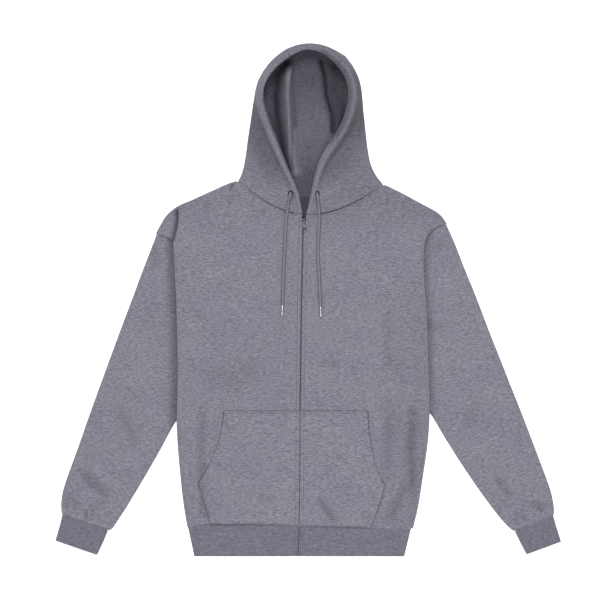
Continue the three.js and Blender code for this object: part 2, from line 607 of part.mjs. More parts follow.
// The middle strip runs up the floor between the two seams, then over the crown between
// the last sections of both hood sides, as far as the rolled edge.
function hoodCentre() {
  const right = hoodSections(SIDES.right);
  const left = hoodSections(SIDES.left);
  const shares = [0, 0.16, 0.33, 0.5, 0.67, 0.84, 1];
  const across = (a, b, rise) => shares.map((share) => {
    const gap = SEAM / a.distanceTo(b);
    const s = lerp(gap, 1 - gap, share);
    const p = a.clone().lerp(b, s);
    p.y += rise * 4 * s * (1 - s);
    return p;
  });
  const floorRise = (i) => (i === 0 ? -1 : CROWN_RISE.seam * (i / right.length));
  const outer = right.map((s, i) => across(s.outer[0], left[i].outer[0], floorRise(i)));
  const inner = right.map((s, i) => across(s.inner[0], left[i].inner[0], floorRise(i)));
  const lastRight = right[right.length - 1];
  const lastLeft = left[left.length - 1];
  const foldColumn = 7;
  const rimColumn = lastRight.outer.length - 1;
  for (let j = 2; j <= rimColumn; j += 1) {
    const rise = j < foldColumn
      ? lerp(CROWN_RISE.seam, CROWN_RISE.fold, j / foldColumn)
      : lerp(CROWN_RISE.fold, CROWN_RISE.rim, (j - foldColumn) / (rimColumn - foldColumn));
    outer.push(across(lastRight.outer[j], lastLeft.outer[j], rise));
    inner.push(across(lastRight.inner[j], lastLeft.inner[j], rise));
  }
  return sheet(outer, inner);
}

// A zip tape with its half of the coil, under the front's edge
function zipHalf(side) {
  const section = [
    { across: 0.15, low: 0, high: ZIP.chainTop },
    { across: ZIP.chain, low: 0, high: ZIP.chainTop },
    { across: ZIP.chain + 0.3, low: 0, high: ZIP.tapeThick },
    { across: ZIP.tape, low: 0, high: ZIP.tapeThick },
  ];
  const floor = CLOTH + LAY;
  const tapeEnd = HEM_Y + 2;
  const inBand = [ZIP.end, HEM_Y - BAND.height / 2, HEM_Y, tapeEnd];
  const heights = [...inBand, tapeEnd + 12, -380, -190, 0, 114, ZIP.top];
  const grid = heights.map((y) => section.map((s) => {
    const base = y <= HEM_Y ? RIB + SEAM : floor;
    const out = side.sign * zipX(y) + (y <= tapeEnd ? Math.min(s.across, ZIP.chain + 0.3) : s.across);
    const top = s.high === ZIP.chainTop ? ZIP.chainTop : base + s.high;
    return { low: point(side, out, y, base + s.low), high: point(side, out, y, top) };
  }));
  return sheet(grid.map((row) => row.map((p) => p.high)), grid.map((row) => row.map((p) => p.low)));
}

// The slider straddles the coil. Its crown is an arch along the zip, and the pull's bar
// turns under it.
const PLAIN = { bevelEnabled: false, curveSegments: 5 };
const HINGE = {
  y: 153,
  z: ZIP.chainTop + SEAM + SLIDER.thick + SEAM + PULL.bar / 2,
};
HINGE.x = zipX(HINGE.y);

function slider() {
  const plate = new THREE.Shape();
  const half = SLIDER.width / 2;
  plate.moveTo(-half, 0.25 * SLIDER.length);
  plate.quadraticCurveTo(-half, 0.5 * SLIDER.length, 0, 0.5 * SLIDER.length);
  plate.quadraticCurveTo(half, 0.5 * SLIDER.length, half, 0.25 * SLIDER.length);
  plate.lineTo(0.62 * half, -0.5 * SLIDER.length);
  plate.lineTo(-0.62 * half, -0.5 * SLIDER.length);
  plate.closePath();
  const body = new THREE.ExtrudeGeometry(plate, { depth: SLIDER.thick, ...PLAIN });
  body.translate(HINGE.x, HINGE.y, HINGE.z - PULL.bar / 2 - SEAM - SLIDER.thick);
  const reach = SLIDER.crownLong / 2;
  const clear = PULL.bar / 2 + SEAM;
  const arch = new THREE.Shape();
  arch.moveTo(-reach, -clear - 1);
  arch.lineTo(reach, -clear - 1);
  arch.lineTo(reach, clear * 0.4);
  arch.quadraticCurveTo(reach * 0.8, clear + SLIDER.crownThick, 0, clear + SLIDER.crownThick);
  arch.quadraticCurveTo(-reach * 0.8, clear + SLIDER.crownThick, -reach, clear * 0.4);
  arch.closePath();
  const hole = new THREE.Path();
  const inner = reach - SLIDER.crownThick;
  hole.moveTo(-inner, -clear);
  hole.lineTo(-inner, clear * 0.4);
  hole.quadraticCurveTo(-inner * 0.8, clear, 0, clear);
  hole.quadraticCurveTo(inner * 0.8, clear, inner, clear * 0.4);
  hole.lineTo(inner, -clear);
  hole.closePath();
  arch.holes.push(hole);
  const crown = new THREE.ExtrudeGeometry(arch, { depth: SLIDER.crownWide, ...PLAIN });
  crown.translate(0, 0, -SLIDER.crownWide / 2);
  crown.rotateY(Math.PI / 2);
  crown.rotateX(Math.PI / 2);
  crown.translate(HINGE.x, HINGE.y, HINGE.z);
  return geometryOf(manifoldOf(body).add(manifoldOf(crown)));
}

// The pull tab hangs from its own top bar and has a window that clears the crown. It widens
// to a round eye at its end, and lies a little askew, as far as the window lets it.
function pullTab() {
  const half = PULL.width / 2;
  const low = -PULL.length + PULL.eye;
  const tab = new THREE.Shape();
  tab.moveTo(-half, PULL.bar / 2);
  tab.lineTo(-half * 0.7, low + 1.6 * PULL.eye);
  tab.absarc(0, low, PULL.eye, (5 / 6) * Math.PI, (13 / 6) * Math.PI, false);
  tab.lineTo(half * 0.7, low + 1.6 * PULL.eye);
  tab.lineTo(half, PULL.bar / 2);
  tab.closePath();
  const window = new THREE.Path();
  const wide = PULL.windowWide / 2;
  window.moveTo(-wide, -PULL.bar / 2);
  window.lineTo(wide, -PULL.bar / 2);
  window.lineTo(wide, -PULL.bar / 2 - PULL.windowLong);
  window.lineTo(-wide, -PULL.bar / 2 - PULL.windowLong);
  window.closePath();
  tab.holes.push(window);
  const eye = new THREE.Path();
  eye.absarc(0, low, PULL.eye * 0.52, 0, 2 * Math.PI, true);
  tab.holes.push(eye);
  const geometry = new THREE.ExtrudeGeometry(tab, { depth: PULL.bar, curveSegments: 12, bevelEnabled: false });
  geometry.rotateZ((PULL.lean * Math.PI) / 180);
  geometry.translate(HINGE.x, HINGE.y, HINGE.z - PULL.bar / 2);
  return geometry;
}

function eyelet(side, meshes) {
  const { out, y } = side.cord[0];
  const x = side.sign * out;
  const z = clothTop(meshes, x, y, EYELET.outer) + SEAM;
  const profile = [
    [EYELET.inner, 0], [EYELET.outer, 0], [EYELET.outer * 0.9, EYELET.high * 0.7],
    [(EYELET.inner + EYELET.outer) / 2, EYELET.high], [EYELET.inner, EYELET.high * 0.6], [EYELET.inner, 0],
  ].map(([r, h]) => new THREE.Vector2(r, h));
  const geometry = new THREE.LatheGeometry(profile, 20);
  geometry.rotateX(Math.PI / 2);
  geometry.translate(x, y, z);
  return { geometry, x, y, top: z + EYELET.high };
}

function cordRoute(side, meshes, exit) {
  const start = exit.top + SEAM;
  const route = [
    new THREE.Vector3(exit.x, exit.y, start),
    new THREE.Vector3(exit.x, exit.y - 0.6, start + CORD.exitRise),
  ];
  side.cord.slice(1).forEach(({ out, y }, i) => {
    const x = side.sign * out;
    if (i === 0) {
      const nearY = lerp(exit.y, y, 0.35);
      const nearX = lerp(exit.x, x, 0.35);
      route.push(new THREE.Vector3(nearX, nearY, start + CORD.exitRise + 0.6));
    }
    route.push(new THREE.Vector3(x, y, clothTop(meshes, x, y, CORD.radius) + SEAM + CORD.radius));
  });
  return new THREE.CatmullRomCurve3(route, false, 'centripetal');
}

function cordTube(curve) {
  const ring = new THREE.Shape();
  ring.absarc(0, 0, CORD.radius, 0, 2 * Math.PI, false);
  return new THREE.ExtrudeGeometry(ring, {
    steps: CORD.steps, curveSegments: CORD.sides, extrudePath: curve, bevelEnabled: false,
  });
}

function cordTip(curve) {
  const end = curve.getPointAt(1);
  const way = curve.getTangentAt(1);
  way.z = 0;
  way.normalize();
  const geometry = new THREE.CylinderGeometry(TIP.radius, TIP.radius, TIP.length, TIP.sides);
  geometry.applyQuaternion(new THREE.Quaternion().setFromUnitVectors(new THREE.Vector3(0, 1, 0), way));
  const middle = end.addScaledVector(way, SEAM + 0.4 + TIP.length / 2);
  geometry.translate(middle.x, middle.y, middle.z);
  return geometry;
}

// The garment
const hoodie = new THREE.Group();
function add(name, geometry, finish) {
  const mesh = new THREE.Mesh(geometry, new THREE.MeshStandardMaterial(COLOURS[finish]));
  mesh.name = name;
  hoodie.add(mesh);
  return mesh;
}

add('back', back(), 'fleece');
add('waistband', waistband(), 'rib');
add('hood_centre', hoodCentre(), 'fleece');
for (const side of Object.values(SIDES)) {
  const frontMesh = add(`front_${side.name}`, front(side), 'fleece');
  const hoodMesh = add(`hood_${side.name}`, hoodSide(side), 'fleece');
  add(`sleeve_${side.name}`, sleeve(side), 'fleece');
  add(`cuff_${side.name}`, cuff(side), 'rib');
  add(`pocket_${side.name}`, pocket(side, frontMesh), 'fleece');
  add(`zip_${side.name}`, zipHalf(side), 'zip');
  const cloth = [frontMesh, hoodMesh];
  const exit = eyelet(side, cloth);
  add(`eyelet_${side.name}`, exit.geometry, 'metal');
  const curve = cordRoute(side, cloth, exit);
  add(`drawcord_${side.name}`, cordTube(curve), 'cord');
  add(`cord_tip_${side.name}`, cordTip(curve), 'metal');
}
add('zip_slider', slider(), 'metal');
add('zip_pull', pullTab(), 'metal');

export default hoodie;
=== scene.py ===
# Zip up hoodie in grey marl fleece, laid flat with its hood open.
import math

import bmesh
import bpy
import numpy as np
from mathutils import Matrix, Vector
from mathutils.bvhtree import BVHTree


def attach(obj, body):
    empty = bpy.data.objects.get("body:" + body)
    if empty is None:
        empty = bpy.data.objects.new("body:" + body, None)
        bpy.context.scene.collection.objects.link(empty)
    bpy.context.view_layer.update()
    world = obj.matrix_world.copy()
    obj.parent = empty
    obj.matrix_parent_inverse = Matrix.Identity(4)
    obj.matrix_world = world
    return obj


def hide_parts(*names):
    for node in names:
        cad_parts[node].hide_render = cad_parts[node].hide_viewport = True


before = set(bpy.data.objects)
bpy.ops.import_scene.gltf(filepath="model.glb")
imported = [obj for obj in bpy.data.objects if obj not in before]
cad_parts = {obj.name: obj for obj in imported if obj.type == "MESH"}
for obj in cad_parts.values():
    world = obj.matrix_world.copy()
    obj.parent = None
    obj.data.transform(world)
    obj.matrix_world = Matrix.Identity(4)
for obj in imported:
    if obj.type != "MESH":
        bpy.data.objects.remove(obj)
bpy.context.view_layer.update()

MM = 0.001
BODY = "garment"
PULL = "zip_pull"
SIDES = {"right": -1, "left": 1}

# The photograph's frame: what it is centred on and how wide it is
VIEW_CENTRE = (-15.2 * MM, 0.0)
VIEW_WIDTH = 1.14
VIEW_LENS = 200
SENSOR = 36
VIEW_LEVEL = 8 * MM

# Routes and seam lines below are in millimetres. Those kept by side give the distance out
# from the middle line, which mirrored() turns into X. Only the cords' routes give X itself.
CORD_DIAMETER = 6.0
CORD_SIDES = 20
BRAID_PITCH = 8.0
RING_STEP = 0.9
CORD_ROUTES = {
    "right": [
        (-33, 203, 12.29), (-33, 202.4, 15.69), (-34.61, 195.65, 16.29), (-37.6, 182, 10.75),
        (-41, 158, 8.7), (-42.8, 129, 8.7), (-44.5, 95, 8.7), (-46.4, 57, 8.7),
        (-47.5, 19, 8.7), (-48.6, -9.5, 8.7),
    ],
    "left": [
        (17.5, 202, 13.3), (17.5, 201.4, 16.7), (18.41, 194.47, 17.3), (20.1, 180.5, 11.26),
        (21.7, 156, 8.7), (20.1, 123.5, 8.7), (18.6, 85.5, 8.7), (20.9, 53, 8.7),
        (22.4, 19, 8.7), (23.6, -11.4, 8.7),
    ],
}
ZIP_LINE = [
    (-18.3, -486), (-16.1, -380), (-14.8, -190), (-12.3, 0), (-9.9, 114), (-7.4, 165),
]
ZIP_TOP = 160.5
ZIP_END = -485.5
HEM_Y = -431.15
NECK_BENDS = {
    "right": ((10.6, 162.8), (57.8, 160), (132.2, 225.7)),
    "left": ((-3.4, 161.9), (63.6, 155.8), (141.5, 219.8)),
}
ARMHOLES = {
    "right": ((257, 112.8), (288.4, 124.5)),
    "left": ((229, 126.9), (263, 144.1)),
}
BODY_SIDES = {
    "right": [
        (229, -431), (236, -388), (242, -335), (247, -275), (249, -236), (249, -212),
        (248.5, -186), (247.6, -150), (247.5, -110), (248.8, -60), (250, -5), (252.5, 40),
        (254, 78), (255, 98), (256, 112),
    ],
    "left": [
        (200, -431), (210, -388), (218, -335), (226.5, -275), (229.5, -238), (230.5, -212),
        (230.5, -186), (229.5, -150), (228, -110), (226.7, -60), (223.8, -5), (220.5, 42),
        (219.5, 82), (221.5, 108), (228, 126),
    ],
}
SHOULDERS = {
    "right": [
        (288, 127), (279.3, 143.6), (268, 161), (248.3, 177.3), (218, 190.6), (180, 208),
        (152, 220.5), (137, 225.4),
    ],
    "left": [
        (263, 145), (257, 154.5), (250, 162.5), (240, 169.3), (212, 184.5), (180, 201.8),
        (158, 212.7), (147, 217.8),
    ],
}
# In X and Y: the fold that runs on from the right armhole to the shoulder's corner, and a
# pleat by the neck
SHOULDER_FOLD = [(-247.5, 173), (-246, 163), (-246, 152), (-249, 134), (-252, 122), (-254.5, 111)]
NECK_PLEAT = [(-143, 221), (-146, 215), (-149.5, 208)]
POCKET_EDGES = {
    "right": [
        (159.5, -211), (160.6, -224), (162.8, -242), (169.5, -270), (180.5, -300),
        (194.5, -326), (208, -348), (198, -380), (184, -430.8),
    ],
    "left": [
        (113, -211), (113.6, -225), (115, -245), (120, -280), (126.5, -310), (135, -333),
        (146.5, -352), (135, -391), (118.5, -430.8),
    ],
}
RIMS = {
    "right": [
        (10.6, 162.8), (16.7, 199.5), (26.6, 226), (38, 252.7), (50.3, 284), (62.7, 314.4),
        (76, 349.6), (84.4, 380), (84.9, 399), (77, 418), (64.6, 435), (50.3, 448.4),
        (34.2, 459),
    ],
    "left": [
        (-3.4, 161.9), (4.6, 195.7), (9.1, 222.3), (15.2, 249), (26.6, 276.4), (41.8, 299.2),
        (57.9, 324), (70.3, 353.4), (76.6, 382), (75.6, 401.8), (70.3, 420), (63.6, 432.2),
        (55.1, 442.7),
    ],
}
STRIP_SEAMS = {
    "right": [
        (28.5, 196.8), (28.5, 216.6), (28.9, 237.5), (29.3, 260), (28.5, 285), (27, 313.5),
        (27.9, 344), (30, 372.4), (30.4, 395), (29.8, 412.3), (28.5, 425.6), (27.4, 435),
        (25.5, 444.6),
    ],
    "left": [
        (34.2, 196.9), (34.2, 214.7), (35.3, 233.7), (38, 256.5), (42.8, 281.2), (47.9, 307.8),
        (49, 332.5), (45.6, 361), (41.8, 383.8), (40.9, 401), (43.7, 414.2), (47.5, 423.7),
        (52.1, 432.2),
    ],
}
CROWN_RISE = 21.6
BACK_NECK_Y = 195.7
COIL_LEVEL = 4.4
COIL_PITCH = 1.5
STITCH_PITCH = 3.4
# How far the rows of stitches lie from the rim, the zip, a turned edge and a hand opening
CASING_ROW = 15
ZIP_ROW = 7.6
EDGE_ROW = 3.5
MOUTH_ROWS = (3.5, 9.0)
RIB_PITCH = 2.4
WAVE_SCALE = 0.314  # of a wave texture whose bands are one unit apart
SLIDER_SPAN = (146.0, 160.0)
CROWN_SEAMS = {"right": [(42, 477.5), (34.2, 459)], "left": [(71, 464), (55.1, 442.7)]}
CUFF_SEAMS = {
    "right": ((467.4, -407.3), (379.4, -438.4)),
    "left": ((466.7, -410.1), (392.4, -439.6)),
}
SLEEVE_LEAN = {"right": 16.0, "left": -18.0}
CUFF_LEAN = {"right": 20.5, "left": -22.0}
HEM_REACH = {"right": 228, "left": 195}  # how far out the hem's seam shows

# Colours, and how bright the tinted lines in the seams are beside the fleece: those below 1 are
# painted shade in grooves, slits and folds, those above 1 painted light over shaded seams
FLEECE = (0.172, 0.167, 0.197)
LINING = (0.158, 0.152, 0.186)
RIB = (0.138, 0.132, 0.164)
COTTON = (0.195, 0.174, 0.2)
THREAD = (0.15, 0.145, 0.175)
TAPE = (0.03, 0.029, 0.036)
COIL = (0.022, 0.021, 0.027)
BRIGHT_NICKEL = (0.5, 0.49, 0.48)
AGED_NICKEL = (0.075, 0.074, 0.075)
JOIN_SHARES = {"shoulder_fold_shadows": 0.3, "seam_joins": 0.8, "hood_joins": 0.36, "rib_joins": 1.3}
SLIT_SHADE_SHARE = 0.2
ROLL_SHARE = 1.1
STITCH_SHADE_SHARE = 0.48
# Each pocket edge's painted shadow line: its brightness and its radius
POCKET_EDGE_SHADOWS = {
    "pocket_tops": (0.45, 0.4), "pocket_mouths": (0.16, 0.75), "pocket_sides": (0.5, 0.45),
}


# Small maths
def smoothstep(low, high, value):
    share = np.clip((np.asarray(value, float) - low) / (high - low), 0, 1)
    return share * share * (3 - 2 * share)


def mirrored(points, side):
    return [(SIDES[side] * p[0], *p[1:]) for p in points]


def zip_x(y):
    return float(np.interp(y, [p[1] for p in ZIP_LINE], [p[0] for p in ZIP_LINE]))


def curved(points, per_span=8):
    """A smooth line through the points, spaced evenly enough for a tube."""
    way = [Vector(p) for p in points]
    ends = [2 * way[0] - way[1], *way, 2 * way[-1] - way[-2]]
    line = []
    for before, a, b, after in zip(ends, ends[1:], ends[2:], ends[3:]):
        spans = [max((q - p).length ** 0.5, 1e-4) for p, q in ((before, a), (a, b), (b, after))]
        first, span, last = spans
        lead = (a - before) / first - (b - before) / (first + span) + (b - a) / span
        leave = (b - a) / span - (after - a) / (span + last) + (after - b) / last
        lead, leave = lead * span, leave * span
        for k in range(per_span):
            t = k / per_span
            line.append(
                (2 * t**3 - 3 * t**2 + 1) * a + (t**3 - 2 * t**2 + t) * lead
                + (3 * t**2 - 2 * t**3) * b + (t**3 - t**2) * leave
            )
    return [*line, way[-1]]


def evenly(points, step):
    """Points a step apart along a line."""
    way = np.array([tuple(p) for p in points], float)
    runs = np.concatenate([[0], np.cumsum(np.linalg.norm(np.diff(way, axis=0), axis=1))])
    count = max(2, round(runs[-1] / step) + 1)
    at = np.linspace(0, runs[-1], count)
    return np.stack([np.interp(at, runs, way[:, k]) for k in range(way.shape[1])], axis=1)


def shifted(points, distance):
    """A flat line moved sideways, to the left of the way it runs."""
    way = np.asarray(points, float)[:, :2]
    ahead = np.gradient(way, axis=0)
    ahead /= np.linalg.norm(ahead, axis=1)[:, None]
    return way + distance * np.stack([-ahead[:, 1], ahead[:, 0]], axis=1)


def neck_line(side, steps=40):
    """The seam between the hood and a front, from the zip to the shoulder."""
    start, bend, end = (np.array(p) for p in NECK_BENDS[side])
    line = []
    for share in np.linspace(0, 1, steps):
        p = (1 - share) ** 2 * start + 2 * share * (1 - share) * bend + share**2 * end
        line.append((SIDES[side] * p[0], p[1] + 0.5))
    return line


# Camera, straight above as in the photograph
def add_camera():
    """A camera straight above, far away and narrow, so that the garment shows flat."""
    data = bpy.data.cameras.new("camera")
    data.lens = VIEW_LENS
    data.sensor_width = SENSOR
    camera = bpy.data.objects.new("camera", data)
    bpy.context.scene.collection.objects.link(camera)
    distance = VIEW_WIDTH * VIEW_LENS / SENSOR
    camera.location = (*VIEW_CENTRE, VIEW_LEVEL + distance)
    bpy.context.scene.camera = camera


# Objects
def piece(name, data, finish, body=BODY):
    item = bpy.data.objects.new(name, data)
    bpy.context.scene.collection.objects.link(item)
    data.materials.clear()
    data.materials.append(finish)
    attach(item, body)
    return item


def points_of(mesh):
    co = np.empty(len(mesh.vertices) * 3)
    mesh.vertices.foreach_get("co", co)
    return co.reshape(-1, 3)


def normals_of(mesh):
    facing = np.empty(len(mesh.vertices) * 3)
    mesh.vertices.foreach_get("normal", facing)
    return facing.reshape(-1, 3)


def set_points(mesh, co):
    mesh.vertices.foreach_set("co", np.ascontiguousarray(co).ravel())
    mesh.update()


def mesh_of(form, name):
    mesh = bpy.data.meshes.new(name)
    form.to_mesh(mesh)
    form.free()
    return mesh


def line_piece(name, lines, radius, finish, sides=3):
    """Thread, a turned edge, or a tinted line of painted shade or painted light, along one or more
    lines, as a round curve.
    """
    data = bpy.data.curves.new(name, "CURVE")
    data.dimensions = "3D"
    data.bevel_depth = radius * MM
    data.bevel_resolution = sides
    data.use_fill_caps = True
    for line in lines:
        spline = data.splines.new("POLY")
        spline.points.add(len(line) - 1)
        spline.points.foreach_set("co", [v for p in line for v in (*p, 1)])
    return piece(name, data, finish)


def cloth_trees(items):
    graph = bpy.context.evaluated_depsgraph_get()
    return [BVHTree.FromObject(item, graph) for item in items]


def height_at(trees, x, y):
    """The highest cloth below a place in millimetres, and which way it faces there."""
    best = (None, None)
    for tree in trees:
        spot, facing, _, _ = tree.ray_cast(Vector((x * MM, y * MM, 0.2)), Vector((0, 0, -1)))
        if spot is not None and (best[0] is None or spot.z > best[0].z):
            best = (spot, facing)
    return best


def laid(points, trees, rise=0.0):
    """A flat line in millimetres let down on the cloth, as points in metres."""
    line = []
    for x, y in points:
        spot, facing = height_at(trees, x, y)
        if spot is not None:
            line.append(spot + facing * rise * MM)
    return line


def in_seam(points, trees, depth, reach=1.8, share=0.0):
    """A flat line sunk between the two pieces that it joins, by share nearer the higher one."""
    line = []
    for (x, y), beside, across in zip(points, shifted(points, reach), shifted(points, -reach)):
        found = [height_at(trees, *q)[0] for q in (beside, across)]
        found = [q.z for q in found if q is not None]
        if found:
            level = min(found) + share * (max(found) - min(found))
            line.append(Vector((x * MM, y * MM, level - depth * MM)))
    return line


def unbroken(lines, jump=3.0):
    """Lines cut wherever they would leap from one layer of cloth to another."""
    runs = []
    for line in lines:
        run = list(line[:1])
        for point in line[1:]:
            if abs(point.z - run[-1].z) > jump * MM:
                runs.append(run)
                run = []
            run.append(point)
        runs.append(run)
    return [run for run in runs if len(run) > 2]


def repeated(name, shape, places):
    """One mesh with a copy of a small shape at every place."""
    form = bmesh.new()
    for place in places:
        copy = shape.copy()
        copy.transform(place)
        form.from_mesh(copy)
        bpy.data.meshes.remove(copy)
    mesh = mesh_of(form, name)
    bpy.data.meshes.remove(shape)
    mesh.shade_smooth()
    return mesh


def pill(long, wide, high):
    """A small rounded grain, as long in Y as it is told."""
    form = bmesh.new()
    bmesh.ops.create_icosphere(form, subdivisions=1, radius=0.5 * MM)
    bmesh.ops.scale(form, vec=(wide, long, high), verts=form.verts)
    return mesh_of(form, "grain")


def standing(place, ahead, up):
    """Where a small shape stands: its Y points ahead and its Z points up."""
    ahead = ahead.normalized()
    side = ahead.cross(up).normalized()
    turned = Matrix((side, ahead, side.cross(ahead))).transposed().to_4x4()
    return Matrix.Translation(place) @ turned


def stitch_places(points, trees, rise=0.12):
    """Where each stitch of a row lies on the cloth, a pitch apart."""
    line = evenly(points, STITCH_PITCH)
    places = []
    for (x0, y0), (x1, y1) in zip(line, line[1:]):
        spot, facing = height_at(trees, 0.5 * (x0 + x1), 0.5 * (y0 + y1))
        if spot is None or facing.z < 0.25:
            continue
        ahead = Vector((x1 - x0, y1 - y0, 0))
        ahead -= facing * ahead.dot(facing)
        places.append(standing(spot + facing * rise * MM, ahead, facing))
    return places


def merged_node(node_name):
    """A CAD node's form with its loose triangles joined."""
    form = bmesh.new()
    form.from_mesh(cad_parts[node_name].data)
    bmesh.ops.remove_doubles(form, verts=form.verts, dist=0.02 * MM)
    bmesh.ops.join_triangles(
        form, faces=form.faces, angle_face_threshold=math.radians(50),
        angle_shape_threshold=math.radians(80),
    )
    return form


def finer(name, form, levels, crease=0.85, sharp=math.radians(48)):
    """Subdivides a form whose sharp edges stay, and returns its mesh."""
    layer = form.edges.layers.float.new("crease_edge")
    for edge in form.edges:
        if len(edge.link_faces) == 2 and edge.calc_face_angle(0) > sharp:
            edge[layer] = crease
    mesh = mesh_of(form, name)
    draft = bpy.data.objects.new(name, mesh)
    bpy.context.scene.collection.objects.link(draft)
    smooth = draft.modifiers.new("smooth", "SUBSURF")
    smooth.levels = smooth.render_levels = levels
    bpy.context.view_layer.update()
    shaped = draft.evaluated_get(bpy.context.evaluated_depsgraph_get())
    fine = bpy.data.meshes.new_from_object(shaped)
    bpy.data.objects.remove(draft)
    bpy.data.meshes.remove(mesh)
    fine.name = name
    fine.shade_smooth()
    fine.set_sharp_from_angle(angle=math.radians(50))
    return fine


# Materials
def new_material(name):
    made = bpy.data.materials.new(name)
    made.use_nodes = True
    return made, made.node_tree, made.node_tree.nodes["Principled BSDF"]


def kept_value(tree, name):
    """A value that a piece keeps on its own points."""
    made = tree.nodes.new("ShaderNodeAttribute")
    made.attribute_name = name
    return made.outputs["Fac"]


def surface(shader, **values):
    """Fills the shader's own sockets with values that are the same all over."""
    for name, value in values.items():
        socket = name.replace("_", " ").title().replace("Ior", "IOR")
        shader.inputs[socket].default_value = value


def mapped(tree, scale, turn=0.0):
    """Object coordinates in metres, turned about Z and then scaled."""
    place = tree.nodes.new("ShaderNodeTexCoord")
    turned = tree.nodes.new("ShaderNodeMapping")
    turned.inputs["Rotation"].default_value = (0, 0, math.radians(turn))
    stretched = tree.nodes.new("ShaderNodeMapping")
    stretched.inputs["Scale"].default_value = scale
    tree.links.new(place.outputs["Object"], turned.inputs["Vector"])
    tree.links.new(turned.outputs["Vector"], stretched.inputs["Vector"])
    return stretched.outputs["Vector"]


def noise(tree, vector, detail=2.0, roughness=0.5, scale=1.0):
    made = tree.nodes.new("ShaderNodeTexNoise")
    made.inputs["Scale"].default_value = scale
    made.inputs["Detail"].default_value = detail
    made.inputs["Roughness"].default_value = roughness
    tree.links.new(vector, made.inputs["Vector"])
    return made.outputs["Fac"]


def ramp(tree, value, stops):
    made = tree.nodes.new("ShaderNodeValToRGB")
    line = made.color_ramp
    while len(line.elements) < len(stops):
        line.elements.new(0.5)
    for element, (at, colour) in zip(line.elements, stops):
        element.position = at
        element.color = (*colour, 1)
    tree.links.new(value, made.inputs["Fac"])
    return made.outputs["Color"]


def mixed(tree, a, b, share, blend="MIX"):
    made = tree.nodes.new("ShaderNodeMix")
    made.data_type = "RGBA"
    made.blend_type = blend
    for value, socket in ((share, made.inputs[0]), (a, made.inputs[6]), (b, made.inputs[7])):
        if isinstance(value, bpy.types.NodeSocket):
            tree.links.new(value, socket)
        elif isinstance(value, (int, float)):
            socket.default_value = value
        else:
            socket.default_value = (*value, 1)
    return made.outputs[2]


def maths(tree, operation, a, b):
    made = tree.nodes.new("ShaderNodeMath")
    made.operation = operation
    for value, socket in ((a, made.inputs[0]), (b, made.inputs[1])):
        if isinstance(value, bpy.types.NodeSocket):
            tree.links.new(value, socket)
        else:
            socket.default_value = value
    return made.outputs[0]


def bumped(tree, shader, height, distance, strength=1.0):
    made = tree.nodes.new("ShaderNodeBump")
    made.inputs["Strength"].default_value = strength
    made.inputs["Distance"].default_value = distance
    tree.links.new(height, made.inputs["Height"])
    tree.links.new(made.outputs["Normal"], shader.inputs["Normal"])


def tinted(colour, share):
    return tuple(min(1.0, c * share) for c in colour)


def marl_material(name, colour, turn=0.0, contrast=1.0, inside=None, sheen=0.12):
    """Brushed marl jersey: dark and pale fibres in short streaks across the knit, darkened by the
    painted shade that a piece keeps on its points.
    """
    made, tree, shader = new_material(name)
    streaks = noise(tree, mapped(tree, (150, 560, 560), turn), detail=2.5, roughness=0.58)
    fibres = noise(tree, mapped(tree, (600, 1900, 1900), turn), detail=2, roughness=0.6)
    clouds = noise(tree, mapped(tree, (9, 14, 12), turn), detail=2)
    low, high = 1 - 0.31 * contrast, 1 + 0.31 * contrast
    main = ramp(tree, streaks, [
        (0.34, tinted(colour, low)), (0.5, colour), (0.66, tinted(colour, high)),
    ])
    flecks = ramp(tree, fibres, [(0.32, (0.62, 0.61, 0.64)), (0.5, (1, 1, 1))])
    warm = ramp(tree, clouds, [(0.35, (0.93, 0.93, 0.96)), (0.65, (1.0, 0.99, 0.985))])
    body = mixed(tree, main, flecks, 0.5 * contrast, "MULTIPLY")
    body = mixed(tree, body, warm, 1.0, "MULTIPLY")
    if inside:
        worn = ramp(tree, streaks, [(0.3, tinted(inside, low)), (0.7, tinted(inside, high))])
        body = mixed(tree, body, worn, kept_value(tree, "inside"))
    # Painted shade: the share kept on a piece's points darkens it in its folds, creases and hollows
    depth = kept_value(tree, "painted_fold_shade")
    painted_shade_tone = ramp(tree, depth, [(0.0, (1, 1, 1)), (1.0, (0.08, 0.08, 0.09))])
    body = mixed(tree, body, painted_shade_tone, 1.0, "MULTIPLY")
    tree.links.new(body, shader.inputs["Base Color"])
    surface(
        shader, roughness=0.95, specular_ior_level=0.15, sheen_weight=sheen, sheen_roughness=0.55,
    )
    nap = maths(tree, "ADD", streaks, fibres)
    bumped(tree, shader, nap, 0.35 * MM, 0.5)
    return made


